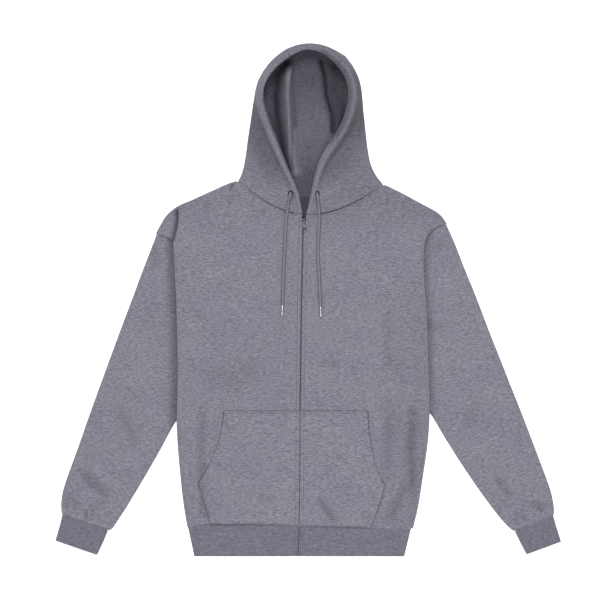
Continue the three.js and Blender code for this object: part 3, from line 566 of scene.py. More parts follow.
def rib_material(name, colour, turn=0.0):
    """Rib knit: fine wales across the band, with the same marl in them and painted shade in the
    grooves between them.
    """
    made, tree, shader = new_material(name)
    streaks = noise(tree, mapped(tree, (150, 560, 560), turn), detail=2.5, roughness=0.6)
    fibres = noise(tree, mapped(tree, (500, 1500, 900), turn), detail=2, roughness=0.6)
    main = ramp(tree, streaks, [
        (0.35, tinted(colour, 0.74)), (0.5, colour), (0.65, tinted(colour, 1.26)),
    ])
    flecks = ramp(tree, fibres, [(0.34, (0.66, 0.65, 0.68)), (0.52, (1, 1, 1))])
    body = mixed(tree, main, flecks, 0.45, "MULTIPLY")
    wales = tree.nodes.new("ShaderNodeTexWave")
    wales.wave_type = "BANDS"
    wales.bands_direction = "X"
    wales.inputs["Scale"].default_value = WAVE_SCALE / RIB_PITCH / MM
    wales.inputs["Distortion"].default_value = 0.4
    wales.inputs["Detail"].default_value = 1
    tree.links.new(mapped(tree, (1, 1, 1), turn), wales.inputs["Vector"])
    # Painted shade in the grooves between the wales
    groove_shade = ramp(tree, wales.outputs["Fac"], [(0.0, (0.86, 0.86, 0.87)), (0.5, (1, 1, 1))])
    body = mixed(tree, body, groove_shade, 1.0, "MULTIPLY")
    tree.links.new(body, shader.inputs["Base Color"])
    surface(
        shader, roughness=0.95, specular_ior_level=0.15, sheen_weight=0.1, sheen_roughness=0.5,
    )
    height = maths(tree, "ADD", maths(tree, "MULTIPLY", streaks, 0.4), wales.outputs["Fac"])
    bumped(tree, shader, height, 0.3 * MM, 0.5)
    return made


def metal_material(name, colour, roughness, dark=0.25, pale=1.5, nose=None):
    """Plated metal in random darker and paler patches, the paler ones painted glints when pale is
    high, darkened past the nose's place along Y as painted shade.
    """
    made, tree, shader = new_material(name)
    wear_and_glints = noise(tree, mapped(tree, (480, 480, 480)), detail=3)
    tone = ramp(tree, wear_and_glints, [
        (0.4, tinted(colour, dark)), (0.52, colour), (0.64, tinted(colour, pale)),
    ])
    if nose:
        along = tree.nodes.new("ShaderNodeSeparateXYZ")
        tree.links.new(mapped(tree, (1, 1, 1)), along.inputs["Vector"])
        past = maths(tree, "MULTIPLY", maths(tree, "SUBTRACT", along.outputs["Y"], nose), 1 / MM)
        nose_shade = ramp(tree, past, [(0.0, (1, 1, 1)), (0.8, (0.06, 0.06, 0.06))])
        tone = mixed(tree, tone, nose_shade, 1.0, "MULTIPLY")
    tree.links.new(tone, shader.inputs["Base Color"])
    surface(shader, metallic=1, roughness=roughness)
    bumped(tree, shader, wear_and_glints, 0.05 * MM, 0.3)
    return made


def thread_material(name, colour, twist=900.0):
    """Sewing thread or yarn with its twist."""
    made, tree, shader = new_material(name)
    strands = noise(tree, mapped(tree, (twist, twist, twist)), detail=2)
    tone = ramp(tree, strands, [(0.35, tinted(colour, 0.7)), (0.65, tinted(colour, 1.2))])
    tree.links.new(tone, shader.inputs["Base Color"])
    surface(shader, roughness=0.85, specular_ior_level=0.2)
    bumped(tree, shader, strands, 0.1 * MM, 0.5)
    return made


def braid_material(name, colour):
    """Braided cotton: the braid's tone, with painted shade on the cord's sides, is kept on the cord's
    own points.
    """
    made, tree, shader = new_material(name)
    fibres = noise(tree, mapped(tree, (900, 900, 900)), detail=2)
    tone = ramp(tree, kept_value(tree, "braid_and_side_shade"), [
        (0.0, tinted(colour, 0.3)), (0.5, tinted(colour, 0.62)), (1.0, tinted(colour, 1.05)),
    ])
    fluff = ramp(tree, fibres, [(0.35, (0.82, 0.8, 0.82)), (0.65, (1, 1, 1))])
    tree.links.new(mixed(tree, tone, fluff, 1.0, "MULTIPLY"), shader.inputs["Base Color"])
    surface(shader, roughness=0.9, specular_ior_level=0.2, sheen_weight=0.1)
    bumped(tree, shader, fibres, 0.15 * MM, 0.5)
    return made


def coil_material(name, colour):
    """Moulded nylon of the zip's coil."""
    made, tree, shader = new_material(name)
    grain = noise(tree, mapped(tree, (600, 600, 600)), detail=2)
    tone = ramp(tree, grain, [(0.35, tinted(colour, 0.7)), (0.65, tinted(colour, 1.3))])
    tree.links.new(tone, shader.inputs["Base Color"])
    surface(shader, roughness=0.45)
    bumped(tree, shader, grain, 0.05 * MM, 0.3)
    return made


def floor_material():
    made, tree, shader = new_material("studio_floor")
    paper = noise(tree, mapped(tree, (30, 30, 30)), detail=2)
    tone = ramp(tree, paper, [(0.3, (0.93, 0.93, 0.93)), (0.7, (0.95, 0.95, 0.95))])
    tree.links.new(tone, shader.inputs["Base Color"])
    surface(shader, roughness=0.9, emission_color=(1, 1, 1, 1), emission_strength=0.4)
    return made


# Drawcords
def ring_frames(path):
    """Where each ring of a tube stands: square to the path, with no twist."""
    way = [Vector(p) for p in path]
    frames = []
    side = None
    for k, place in enumerate(way):
        ahead = (way[min(k + 1, len(way) - 1)] - way[max(k - 1, 0)]).normalized()
        if side is None:
            side = ahead.cross(Vector((0, 1, 0.3))).normalized()
        side = (side - ahead * side.dot(ahead)).normalized()
        turned = Matrix((side, ahead.cross(side), ahead)).transposed().to_4x4()
        frames.append(Matrix.Translation(place) @ turned)
    return frames


def tube(path, radius, sides):
    """A round tube drawn out ring by ring along a path and closed at both ends."""
    frames = ring_frames(path)
    form = bmesh.new()
    ring = bmesh.ops.create_circle(form, cap_ends=True, radius=radius, segments=sides)["verts"]
    bmesh.ops.transform(form, matrix=frames[0], verts=ring)
    edges = list(form.edges)
    for before, after in zip(frames, frames[1:]):
        grown = bmesh.ops.extrude_edge_only(form, edges=edges)["geom"]
        ring = [g for g in grown if isinstance(g, bmesh.types.BMVert)]
        edges = [
            g for g in grown
            if isinstance(g, bmesh.types.BMEdge) and all(v in ring for v in g.verts)
        ]
        bmesh.ops.transform(form, matrix=after @ before.inverted(), verts=ring)
    bmesh.ops.contextual_create(form, geom=edges)
    bmesh.ops.recalc_face_normals(form, faces=form.faces)
    return form


def braided_cord(side, finish):
    """A drawcord with its braid, from the eyelet to the tip."""
    route = curved([[v * MM for v in p] for p in CORD_ROUTES[side]], per_span=24)
    path = evenly(route, RING_STEP * MM)
    form = tube(path, 0.5 * CORD_DIAMETER * MM, CORD_SIDES)
    frames = ring_frames(path)
    name = f"braided_drawcord_{side}"
    mesh = mesh_of(form, name)
    co = points_of(mesh)
    braid_and_side_shade = np.full(len(co), 0.7)
    for k, frame_at in enumerate(frames):
        near = slice(k * CORD_SIDES, (k + 1) * CORD_SIDES)
        local = co[near] - path[k]
        across = np.array(frame_at.to_3x3())
        turn = np.arctan2(local @ across[:, 1], local @ across[:, 0])
        along = k * RING_STEP / BRAID_PITCH * 2 * math.pi
        woven = 0.5 + 0.5 * np.sin(3 * turn + along) * np.sin(3 * turn - along)
        co[near] = path[k] + local * (1 + 0.06 * (woven - 0.5))[:, None]
        upward = local[:, 2] / (0.5 * CORD_DIAMETER * MM)
        # Painted shade: the braid's tone darkens towards the cord's sides, the less they face up
        braid_and_side_shade[near] = (0.72 + 0.28 * woven) * smoothstep(0.2, 0.95, upward)
    set_points(mesh, co)
    mesh.attributes.new("braid_and_side_shade", "FLOAT", "POINT").data.foreach_set("value", braid_and_side_shade)
    mesh.shade_smooth()
    mesh.set_sharp_from_angle(angle=math.radians(60))
    cord = piece(name, mesh, finish)
    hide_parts(f"drawcord_{side}")
    length = float(np.linalg.norm(np.diff(path, axis=0), axis=1).sum())
    return cord, path, length


def cord_tip(side, finish):
    """The metal tip of a drawcord, with its rims rounded."""
    form = merged_node(f"cord_tip_{side}")
    rims = [e for e in form.edges if e.calc_face_angle(0) > math.radians(50)]
    bmesh.ops.bevel(
        form, geom=rims, offset=0.5 * MM, segments=2, profile=0.5, affect="EDGES", material=-1,
    )
    mesh = mesh_of(form, f"metal_tip_{side}")
    mesh.shade_smooth()
    mesh.set_sharp_from_angle(angle=math.radians(40))
    tip = piece(f"metal_tip_{side}", mesh, finish)
    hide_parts(f"cord_tip_{side}")
    return tip


add_camera()
fleece = marl_material("marl_fleece", FLEECE)
cord_finish = braid_material("cotton_braid", COTTON)
nickel = metal_material("bright_nickel", BRIGHT_NICKEL, 0.36, dark=0.6)
for side in SIDES:
    cord, path, length = braided_cord(side, cord_finish)
    tip = cord_tip(side, nickel)


# How the laid cloth differs from its plain form. Each crease runs from (x, y) to (x, y)
# with its width and its height, in millimetres; a trough's height is below nothing.
BODY_CREASES = [
    (-141, 222, -149, 208, 3.5, -1.3), (-146, 218, -152, 206, 4, 0.7),
    (-188, 188, -196, 166, 7, -0.8), (-152, 200, -146, 176, 7, -0.6),
    (-199, -205, -205, -412, 9, -1.3), (-217, -226, -214, -404, 9, 1.1),
    (-183, -352, -190, -408, 5, 0.8), (-186, -388, -191, -424, 2.6, -1.2),
    (-193, -386, -198, -426, 2.6, -1.3), (-200, -384, -205, -426, 2.6, -1.1),
    (150, -16, 158, -136, 9, -0.9), (166, -30, 172, -120, 10, 0.7),
    (22, -118, 66, -126, 7, -0.7), (150, -190, 156, -350, 11, -1.0),
    (180, -196, 190, -400, 9, 1.3), (199, -196, 196, -390, 11, -1.9),
    (168, -260, 172, -360, 8, 0.8), (196, -345, 150, -424, 8, -1.5),
    (180, -340, 138, -410, 8, 0.9), (19, -374, 52, -428, 3.6, -2.7),
    (34, -374, 70, -420, 10, 1.6), (50, -340, 80, -352, 20, 1.7),
    (100, -404, 120, -428, 7, -0.8), (-64, -376, -96, -384, 6, -0.9),
    (-60, -388, -92, -396, 6, 0.8), (-86, -250, -120, -330, 26, 0.9),
    (-60, 40, -120, -80, 34, 0.8), (80, 60, 130, -20, 30, 0.8),
    (-150, 90, -210, 20, 30, 0.8), (-90, -120, -200, -160, 24, -0.7),
    (60, -170, 150, -150, 24, 0.6),
]
# How far above the straight hem its seam lies, from the wearer's right to the left
HEM_WAVER = ((-228, -180, -100, -50, 20, 70, 140, 205), (1, 5.5, 5.5, 3.5, 1.5, 0.5, -2, -3))
HEM_PUFF = [(-222, -427, -20, -427, 4, 1.5), (-12, -427, 120, -427, 4, 1.2)]
SLEEVE_CREASES = {
    "right": [
        (-436, -318, -384, -374, 7, -1.7), (-414, -318, -372, -360, 9, 1.6),
        (-446, -352, -424, -392, 9, 1.2), (-421, -398, -423, -420, 2.2, -2.8),
        (-415, -396, -415, -418, 3.5, 1.6), (-378, -384, -420, -392, 8, -0.8),
        (-408, -396, -413, -422, 4, -1.0), (-440, -380, -446, -404, 4, -1.2),
        (-395, -408, -399, -428, 4, -1.0), (-455, -372, -461, -398, 4, -0.9),
        (-330, -150, -300, -240, 16, 1.2), (-300, 20, -260, -60, 18, 1.0),
        (-360, -200, -330, -280, 12, -1.0), (-280, 60, -300, 96, 10, -0.9),
    ],
    "left": [
        (226, -38, 250, -62, 9, -1.4), (236, -30, 262, -52, 9, 1.2),
        (344, -350, 380, -386, 9, 1.5), (352, -338, 392, -374, 8, -1.5),
        (424, -384, 446, -402, 5, -1.4), (430, -374, 452, -392, 5, 1.2),
        (408, -398, 414, -424, 3.5, -1.2), (440, -384, 444, -408, 4, -1.0),
        (396, -408, 402, -430, 4, -1.1), (300, -130, 350, -230, 16, 1.2),
        (280, 40, 250, -40, 18, 1.0), (330, -180, 300, -250, 12, -0.9),
        (262, 120, 236, 86, 9, -0.9),
    ],
}
HOOD_CREASES = [
    (-96, 250, -60, 262, 8, -1.0), (-112, 300, -84, 330, 9, -1.0), (-100, 380, -92, 420, 7, -0.9),
    (100, 250, 60, 240, 9, -1.0), (106, 300, 78, 300, 8, -0.8), (96, 340, 104, 400, 7, -0.8),
    (-70, 210, -40, 200, 8, 0.8), (90, 215, 50, 205, 8, 0.8),
]
# Hollows in the sides that lie on the floor, like the creases that show above
BACK_CREASES = [
    (-150, 130, -70, 60, 16, 0.3), (60, 140, 150, 70, 18, 0.32), (-190, -30, -110, -90, 14, 0.26),
    (-60, -60, 40, -130, 20, 0.3), (90, -90, 180, -170, 15, 0.32), (-170, -210, -180, -390, 12, 0.34),
    (160, -230, 168, -380, 12, 0.3), (-90, -280, 30, -340, 18, 0.28), (-20, 120, 10, 20, 14, 0.24),
    (60, -300, 110, -390, 12, 0.26),
]
SLEEVE_BACK_CREASES = {
    "right": [
        (-330, 10, -300, -80, 13, 0.3), (-370, -120, -330, -200, 12, 0.34),
        (-400, -250, -360, -310, 10, 0.3), (-430, -340, -400, -386, 8, 0.32),
    ],
    "left": [
        (290, 60, 260, -10, 13, 0.3), (320, -90, 350, -180, 12, 0.3), (360, -230, 390, -300, 11, 0.34),
        (400, -340, 430, -382, 8, 0.3),
    ],
}
# The creases' depth; CREASE_SHADE and FOLD_SHADE: how strong the painted shade in the creases and
# beside the shoulder fold is
CREASE_DEPTH = 2.6
CREASE_SHADE = 0.17
FOLD_DEPTH = 1.2
FOLD_SHADE = 0.8
FOLD_REACH = 8
LOWEST_TROUGH = -1.3
# Where the body lies over each sleeve: how strong the painted shade beside it is and how far it
# reaches
OVERLAP_SHADES = {"right": (0.5, 12), "left": (0.34, 8)}
OVERLAP_EDGES = {"right": 250, "left": 228}
SLEEVE_TOP = 5.8
SLEEVE_TROUGH = 1.5
CUFF_PUFF = 1.7
LAID_WAVES = [
    (0.45, 52, 17, 0.3), (0.4, -23, 44, 1.9), (0.3, 71, -36, 4.1), (0.28, 18, 88, 2.6),
    (0.2, 104, 61, 5.2),
]


def rim_line():
    """The edge of the face opening, up the right side, over the crown and down the left."""
    right = mirrored(RIMS["right"], "right")
    left = mirrored(RIMS["left"], "left")
    crown = []
    for share in np.linspace(0, 1, 11)[1:-1]:
        x = right[-1][0] + share * (left[-1][0] - right[-1][0])
        y = right[-1][1] + share * (left[-1][1] - right[-1][1])
        crown.append((x, y + 4 * CROWN_RISE * share * (1 - share)))
    return [*right, *crown, *reversed(left)]


RIM_LINE = rim_line()
RIM_HEIGHTS = (
    (162, 199, 226, 252, 284, 314, 349, 380, 400, 419, 435, 448, 459),
    (5.4, 10, 15, 20, 25, 29, 33, 36, 39, 41, 43, 45, 46),
)
# By the height up the hood: how wide the casing is, how far its roll rises, how far the
# cloth beside it sags, where the layer on the floor ends, and the painted shade beside the casing
CASING_WIDTHS = ((175, 240, 300, 380, 459), (8, 13, 16, 17, 17))
ROLL_HEIGHTS = ((170, 230, 400, 460), (0.8, 5.0, 6.0, 6.5))
SAG_DEPTHS = ((190, 240, 300, 420, 455), (0, 3.5, 6.5, 5, 0))
LOW_LAYER_TOPS = ((235, 260, 300, 350), (6, 9, 12.5, 15))
CASING_SHADES = ((205, 250, 420, 452), (0, 0.42, 0.46, 0.05))
# Soft folds inside the hood: a line, its width and its height
HOOD_RIDGES = [
    ([(-38, 440), (-39.5, 389), (-36, 351), (-33, 313), (-28.5, 275), (-23, 243)], 9.5, 9),
    ([(60, 400), (62, 350), (58, 318)], 7, 8),
    ([(-8, 225), (-4, 270), (0, 320)], 9, 2.5),
    ([(10, 300), (18, 360), (16, 400)], 10, 2.0),
]
# How deep in painted shade the hood's inner cloth lies, from 0 to 1, by its height up the hood
HOOD_SHADE_LEVELS = (
    (160, 197, 243, 275, 313, 351, 389, 427, 461),
    (0.72, 0.71, 0.64, 0.5, 0.43, 0.46, 0.56, 0.68, 0.5),
)
# Where that painted shade differs: a line, its width and the shade there
HOOD_SHADE_LINES = [
    ([(48, 440), (52, 400), (60, 360), (62, 335)], 16, 0.84),
    ([(-62, 440), (-78, 400), (-76, 360), (-62, 322)], 10, 0.7),
    ([(-37, 440), (-38, 389), (-36, 351), (-33, 313), (-29.5, 275), (-23, 243)], 9, 0.1),
    (
        [(-40, 450), (-56, 427), (-61, 389), (-58.5, 351), (-51.8, 313), (-45.2, 275), (-38, 250)],
        10.5, 0.98,
    ),
    ([(24, 452), (31, 427), (35, 389), (46, 351), (47, 322)], 5.5, 1.0),
    ([(-27, 440), (-27, 400), (-25, 360), (-24, 330)], 4, 0.66),
]


def creased(co, table):
    """Height that the creases add at each point, in metres."""
    rise = np.zeros(len(co))
    x, y = co[:, 0] / MM, co[:, 1] / MM
    for x0, y0, x1, y1, width, height in table:
        along = np.array([x1 - x0, y1 - y0], float)
        length = np.hypot(*along)
        along /= length
        t = ((x - x0) * along[0] + (y - y0) * along[1]) / length
        sway = 0.25 * width * np.sin(4.2 * t + 0.03 * x0)
        off = -(x - x0) * along[1] + (y - y0) * along[0] + sway
        fade = smoothstep(-0.12, 0.25, t) * smoothstep(1.12, 0.7, t)
        rise += CREASE_DEPTH * height * MM * fade * np.exp(-((off / width) ** 2))
    return rise


def waved(co):
    """The slight unevenness of cloth smoothed out by hand."""
    x, y = co[:, 0], co[:, 1]
    return sum(a * MM * np.sin(kx * x + ky * y + phase) for a, kx, ky, phase in LAID_WAVES)


def plan_gap(co, line):
    """Distance in plan from each point to a line, in millimetres."""
    x, y = co[:, 0] / MM, co[:, 1] / MM
    gap = np.full(len(co), 1e3)
    for (x0, y0), (x1, y1) in zip(line, line[1:]):
        run, rise = x1 - x0, y1 - y0
        t = np.clip(((x - x0) * run + (y - y0) * rise) / max(run**2 + rise**2, 1e-9), 0, 1)
        gap = np.minimum(gap, np.hypot(x - x0 - t * run, y - y0 - t * rise))
    return gap


def near_lines(co, lines, reach):
    """1 well away from the lines, 0 on them."""
    gap = np.min([plan_gap(co, line) for line in lines], axis=0)
    return smoothstep(0.4 * reach, reach, gap)


def within(co, outline):
    """Which points lie inside a closed outline in plan."""
    x, y = co[:, 0] / MM, co[:, 1] / MM
    inside = np.zeros(len(co), bool)
    for (x0, y0), (x1, y1) in zip(outline, [*outline[1:], outline[0]]):
        if y0 != y1:
            crossing = x0 + (y - y0) * (x1 - x0) / (y1 - y0)
            inside ^= ((y0 > y) != (y1 > y)) & (x < crossing)
    return inside


def cord_lines():
    return [[p[:2] for p in CORD_ROUTES[side]] for side in SIDES]


def panel(node_name, name, finish, levels, shape=None, mark=None):
    """A cloth piece from its CAD node: subdivided, marked with its painted shade and inner side while
    still plain, then shaped.
    """
    mesh = finer(name, merged_node(node_name), levels)
    if mark:
        mark(mesh)
    if shape:
        set_points(mesh, shape(points_of(mesh), normals_of(mesh)))
    item = piece(name, mesh, finish)
    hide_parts(node_name)
    return item


def hem_lift(x):
    """How far the hem's seam lies above the straight, at each place across."""
    return np.interp(x, *HEM_WAVER)


def wavered(co):
    """Moves the seam between the body and its waistband off the straight."""
    y = co[:, 1] / MM
    near = np.where(y > HEM_Y, smoothstep(HEM_Y + 45, HEM_Y, y), smoothstep(HEM_Y - 50, HEM_Y, y))
    co[:, 1] += near * hem_lift(co[:, 0] / MM) * MM
    return co


def shape_waistband(co, facing):
    return wavered(co)


def beside_fold(co):
    """Share of the shoulder fold's hollow at each point, deepest right beside its edge."""
    x, y = co[:, 0] / MM, co[:, 1] / MM
    xs, ys = (np.array(values, float)[::-1] for values in zip(*SHOULDER_FOLD))
    out = np.interp(y, ys, xs) - x
    ends = smoothstep(182, 174, y) * smoothstep(104, 114, y)
    return ends * smoothstep(-1.5, 1.5, out) * np.exp(-((np.maximum(out, 0) / FOLD_REACH) ** 2))


def shape_front(co, facing):
    """The creases of a front or a pocket, which stay clear of the cords and the zip."""
    still = near_lines(co, cord_lines(), 22)
    quiet = near_lines(co, [ZIP_LINE], 20)
    rise = creased(co, BODY_CREASES) + waved(co)
    edges = smoothstep(235, 205, np.abs(co[:, 0] / MM))
    rise *= np.where(np.abs(co[:, 0] / MM) > 205, 0.35 + 0.65 * edges, 1)
    low_end = smoothstep(-431, -424, co[:, 1] / MM)
    rise = rise - FOLD_DEPTH * MM * beside_fold(co)
    co[:, 2] += np.maximum(rise * still * quiet * low_end, LOWEST_TROUGH * MM)
    co[:, 2] += np.maximum(creased(co, HEM_PUFF), 0) * quiet
    return wavered(co)


def hollowed(co, table):
    """Lifts the layer on the floor a little along its creases."""
    layer = smoothstep(3.2, 2.4, co[:, 2] / MM)
    co[:, 2] += layer * creased(co, table)
    return co


def shape_back(co, facing):
    return wavered(hollowed(co, BACK_CREASES))


def shape_sleeve(side):
    """The creases of a sleeve, pressed down under the body and full above the cuff."""
    def shape(co, facing):
        floor, top = co[:, 2].min(), SLEEVE_TOP * MM
        share = np.clip((co[:, 2] - 0.45 * top) / (0.5 * top), 0, 1)
        rise = creased(co, SLEEVE_CREASES[side]) + 0.8 * waved(co)
        under = OVERLAP_EDGES[side]
        clear = smoothstep(under - 6, under + 16, np.abs(co[:, 0] / MM))
        shown = np.where(co[:, 1] / MM > -205, clear, 1)
        lapped = [(x + SIDES[side] * 6, y) for x, y in mirrored(BODY_SIDES[side], side)]
        beside = plan_gap(co, lapped)
        rise -= SLEEVE_TROUGH * MM * np.exp(-((beside / 6) ** 2))
        co[:, 2] += share * np.maximum(rise, -SLEEVE_TROUGH * MM) * shown
        (x0, y0), (x1, y1) = mirrored(CUFF_SEAMS[side], side)
        along = np.array([x1 - x0, y1 - y0]) / math.hypot(x1 - x0, y1 - y0)
        off = np.abs(-(co[:, 0] / MM - x0) * along[1] + (co[:, 1] / MM - y0) * along[0])
        co[:, 2] += share * CUFF_PUFF * MM * np.exp(-(((off - 4) / 4) ** 2))
        co[:, 2] = np.maximum(co[:, 2], floor)
        return hollowed(co, SLEEVE_BACK_CREASES[side])
    return shape


def rim_places(co):
    """Each point's distance from the rim, how wide the casing is there, and if it lies outside."""
    y = co[:, 1] / MM
    gap = plan_gap(co, RIM_LINE)
    wide = np.interp(y, *CASING_WIDTHS)
    return gap, wide, np.where(gap < 1.5, 1, 1 - within(co, RIM_LINE))


def flatter(co):
    """1 low on the wearer's left, where the casing lies flatter against the hood."""
    return smoothstep(0, 20, co[:, 0] / MM) * smoothstep(345, 290, co[:, 1] / MM)


def low_share(co):
    """1 on the hood's layer that lies on the floor, 0 where it has risen towards the rim."""
    limit = np.interp(co[:, 1] / MM, *LOW_LAYER_TOPS)
    return smoothstep(limit + 8, limit - 2, co[:, 2] / MM)


def shape_hood(co, facing):
    """The rolled casing along the rim, the soft folds inside and the creases outside."""
    y, z = co[:, 1] / MM, co[:, 2] / MM
    gap, wide, outside = rim_places(co)
    level = np.interp(y, *RIM_HEIGHTS)
    flap = smoothstep(-9, -6, z - level) * smoothstep(2, 6, z) * outside
    share = gap / wide
    crest = 0.55 + 0.22 * smoothstep(0, 40, co[:, 0] / MM)
    roll = np.clip(1 - ((share - crest) / 0.58) ** 2, 0, 1)
    roll *= np.interp(y, *ROLL_HEIGHTS)
    roll *= np.clip(facing[:, 2] * 1.5, 0, 1)
    groove = -2.0 * (1 - 0.6 * flatter(co)) * np.exp(-(((gap - wide - 1.6) / 2.2) ** 2))
    sag = -np.interp(y, *SAG_DEPTHS)
    sag = sag * np.exp(-(((gap - wide - 9) / 9) ** 2))
    outer = smoothstep(4, 14, z) * outside
    creases = (creased(co, HOOD_CREASES) + 0.7 * waved(co)) / MM
    rise = flap * (roll + groove) + outer * (sag + creases)
    inner = np.zeros(len(co))
    for line, width, height in HOOD_RIDGES:
        inner += height * np.exp(-((plan_gap(co, line) / width) ** 2))
    rise += low_share(co) * inner * (1 - outside)
    co[:, 2] += rise * MM
    return co


def covered_by(tree, vertex, up):
    """Whether other cloth lies straight above or below a point of the hood."""
    way = Vector((0, 0, 1 if up else -1))
    return tree.ray_cast(vertex.co + vertex.normal * 0.1 * MM, way, 0.1)[0] is not None


def inner_share(mesh, co):
    """1 at the points that lie on the hood's inner side, 0 at the others."""
    tree = BVHTree.FromPolygons(
        [v.co for v in mesh.vertices], [p.vertices for p in mesh.polygons]
    )
    level = np.interp(co[:, 1] / MM, *RIM_HEIGHTS)
    open_low = within(co, RIM_LINE) & (co[:, 2] / MM < np.maximum(level - 8, 3.2))
    share = np.zeros(len(co))
    for vertex in mesh.vertices:
        up = vertex.normal.z >= 0
        inner = covered_by(tree, vertex, up) or (up and open_low[vertex.index])
        share[vertex.index] = 1.0 if inner else 0.0
    return share


def outer_shade(co):
    """Painted shade on the hood's outer side: beside the casing, at its edges and at the crown."""
    x, y = co[:, 0] / MM, co[:, 1] / MM
    gap, wide, _ = rim_places(co)
    beside = np.interp(y, *CASING_SHADES)
    beside = beside * smoothstep(0.75, 1.15, gap / wide) * smoothstep(62, 12, gap - wide)
    beside = beside * (1 - 0.3 * flatter(co)) + 0.08 * smoothstep(10, 50, x)
    tucked = 0.5 * smoothstep(0, 40, x) * smoothstep(270, 320, y) * smoothstep(15, 3, gap)
    edge = smoothstep(0, -20, x) * smoothstep(225, 260, y) * smoothstep(395, 375, y)
    tucked = np.maximum(tucked, 0.42 * edge * smoothstep(5.5, 1, gap))
    crown = 0.17 * smoothstep(425, 455, y)
    return np.maximum(np.maximum(beside, tucked), crown)


def mark_hood(mesh):
    """Keeps on the hood's points which lie on its inner side, and how much painted shade each gets in
    the folds and beside the casing.
    """
    co = points_of(mesh)
    share = inner_share(mesh, co)
    deep = np.interp(co[:, 1] / MM, *HOOD_SHADE_LEVELS)
    for line, width, depth in HOOD_SHADE_LINES:
        deep += (depth - deep) * np.exp(-((plan_gap(co, line) / width) ** 2))
    keep(mesh, "inside", share)
    keep(mesh, "painted_fold_shade", np.where(share > 0.5, deep, outer_shade(co)))


def keep(mesh, name, values):
    mesh.attributes.new(name, "FLOAT", "POINT").data.foreach_set("value", values)


def crease_shade(co, table):
    """Painted shade in the troughs of the creases, by how deep each place lies in them."""
    return np.clip(-creased(co, table) / (CREASE_DEPTH * MM), 0, 2) * CREASE_SHADE


def keep_painted_shade(mesh, co, deep):
    """Keeps painted shade on the points of the upper layer alone."""
    keep(mesh, "painted_fold_shade", deep * smoothstep(2, 4, co[:, 2] / MM))


def mark_front(mesh):
    """Painted shade in the creases, towards the shoulders and the left side, and beside the shoulder
    fold.
    """
    co = points_of(mesh)
    x, y = co[:, 0] / MM, co[:, 1] / MM
    deep = crease_shade(co, BODY_CREASES)
    deep = deep + np.where(x > 0, 0.14, 0.06) * smoothstep(110, 190, y)
    deep = deep + 0.06 * smoothstep(125, 185, x) * smoothstep(60, 0, y)
    keep_painted_shade(mesh, co, deep + FOLD_SHADE * beside_fold(co))


def mark_sleeve(side):
    """Painted shade in the creases and beside the body that lies over the sleeve's inner edge."""
    def mark(mesh):
        co = points_of(mesh)
        strength, reach = OVERLAP_SHADES[side]
        lapped = [(x + SIDES[side] * 3, y) for x, y in mirrored(BODY_SIDES[side], side)]
        beside = np.exp(-((plan_gap(co, lapped) / reach) ** 2))
        keep_painted_shade(mesh, co, crease_shade(co, SLEEVE_CREASES[side]) + strength * beside)
    return mark


def mark_back_neck(mesh):
    """The back panel shows its inner side where the fronts part below the hood, darkened there with
    painted shade.
    """
    co = points_of(mesh)
    near = smoothstep(60, 45, np.abs(co[:, 0] / MM)) * smoothstep(140, 150, co[:, 1] / MM)
    keep(mesh, "inside", near)
    keep(mesh, "painted_fold_shade", 0.84 * near)


def build_cloth():
    # The hood's copy of the fleece is 6% darker, painted shade on its sloping sides, and has less
    # sheen
    hood_finish = marl_material("marl_hood", tinted(FLEECE, 0.94), inside=LINING, sheen=0.05)
    back_finish = marl_material("marl_back", FLEECE, inside=LINING)
    band_finish = rib_material("rib_band", RIB)
    made = {
        "back": panel("back", "back_panel", back_finish, 2, shape_back, mark_back_neck),
        "waistband": panel(
            "waistband", "rib_waistband", band_finish, 3, shape_waistband,
        ),
        "hood_centre": panel(
            "hood_centre", "hood_strip", hood_finish, 3, shape_hood, mark_hood,
        ),
    }
    for side in SIDES:
        # Each sleeve's fleece lies along its own grain and is 1% brighter, painted light
        arm = marl_material(f"marl_sleeve_{side}", tinted(FLEECE, 1.01), SLEEVE_LEAN[side])
        rib = rib_material(f"rib_cuff_{side}", RIB, CUFF_LEAN[side])
        for part, name, finish, slot, shape, mark in (
            ("front", "front_panel", fleece, "fleece", shape_front, mark_front),
            ("pocket", "pouch_pocket", fleece, "fleece", shape_front, mark_front),
            ("hood", "hood_panel", hood_finish, "fleece", shape_hood, mark_hood),
            ("sleeve", "sleeve_panel", arm, "fleece", shape_sleeve(side), mark_sleeve(side)),
            ("cuff", "rib_cuff", rib, "rib_knit", None, None),
        ):
            key = f"{part}_{side}"
            made[key] = panel(key, f"{name}_{side}", finish, 3, shape, mark)
    return made


cloth = build_cloth()


# Sewing
def flat_curve(points, step):
    line = curved([(x, y, 0) for x, y in points])
    return [tuple(p[:2]) for p in evenly(line, step)]


def zip_side_line(offset, top, end, step=6):
    return [(zip_x(y) + offset, y) for y in np.arange(top, end, -step)]


def pocket_lines(side):
    """The top edge, the bowed hand opening and the edge that is sewn down."""
    edge = mirrored(POCKET_EDGES[side], side)
    level = edge[0][1]
    top = evenly([(zip_x(level) + SIDES[side] * 4, level), edge[0]], 5)
    return top, flat_curve(edge[:7], 4), flat_curve(edge[6:], 4)


def turned_edge(line, turn, trees):
    """A pocket's edge for its painted shadow line, kept at the height of the cloth beside it."""
    edge = []
    for (x, y), q in zip(shifted(line, 0.5 * turn), shifted(line, 2.2 * turn)):
        spot = height_at(trees, *q)[0]
        level = spot.z if spot else 6 * MM
        edge.append(Vector((x * MM, y * MM, level + 0.25 * MM)))
    return edge


def hem_line(side):
    """The seam of body and waistband, from the zip out to the side."""
    sign = SIDES[side]
    places = np.arange(zip_x(HEM_Y) + sign * 2.8, sign * HEM_REACH[side], sign * 4)
    return [(x, HEM_Y + hem_lift(x)) for x in places]


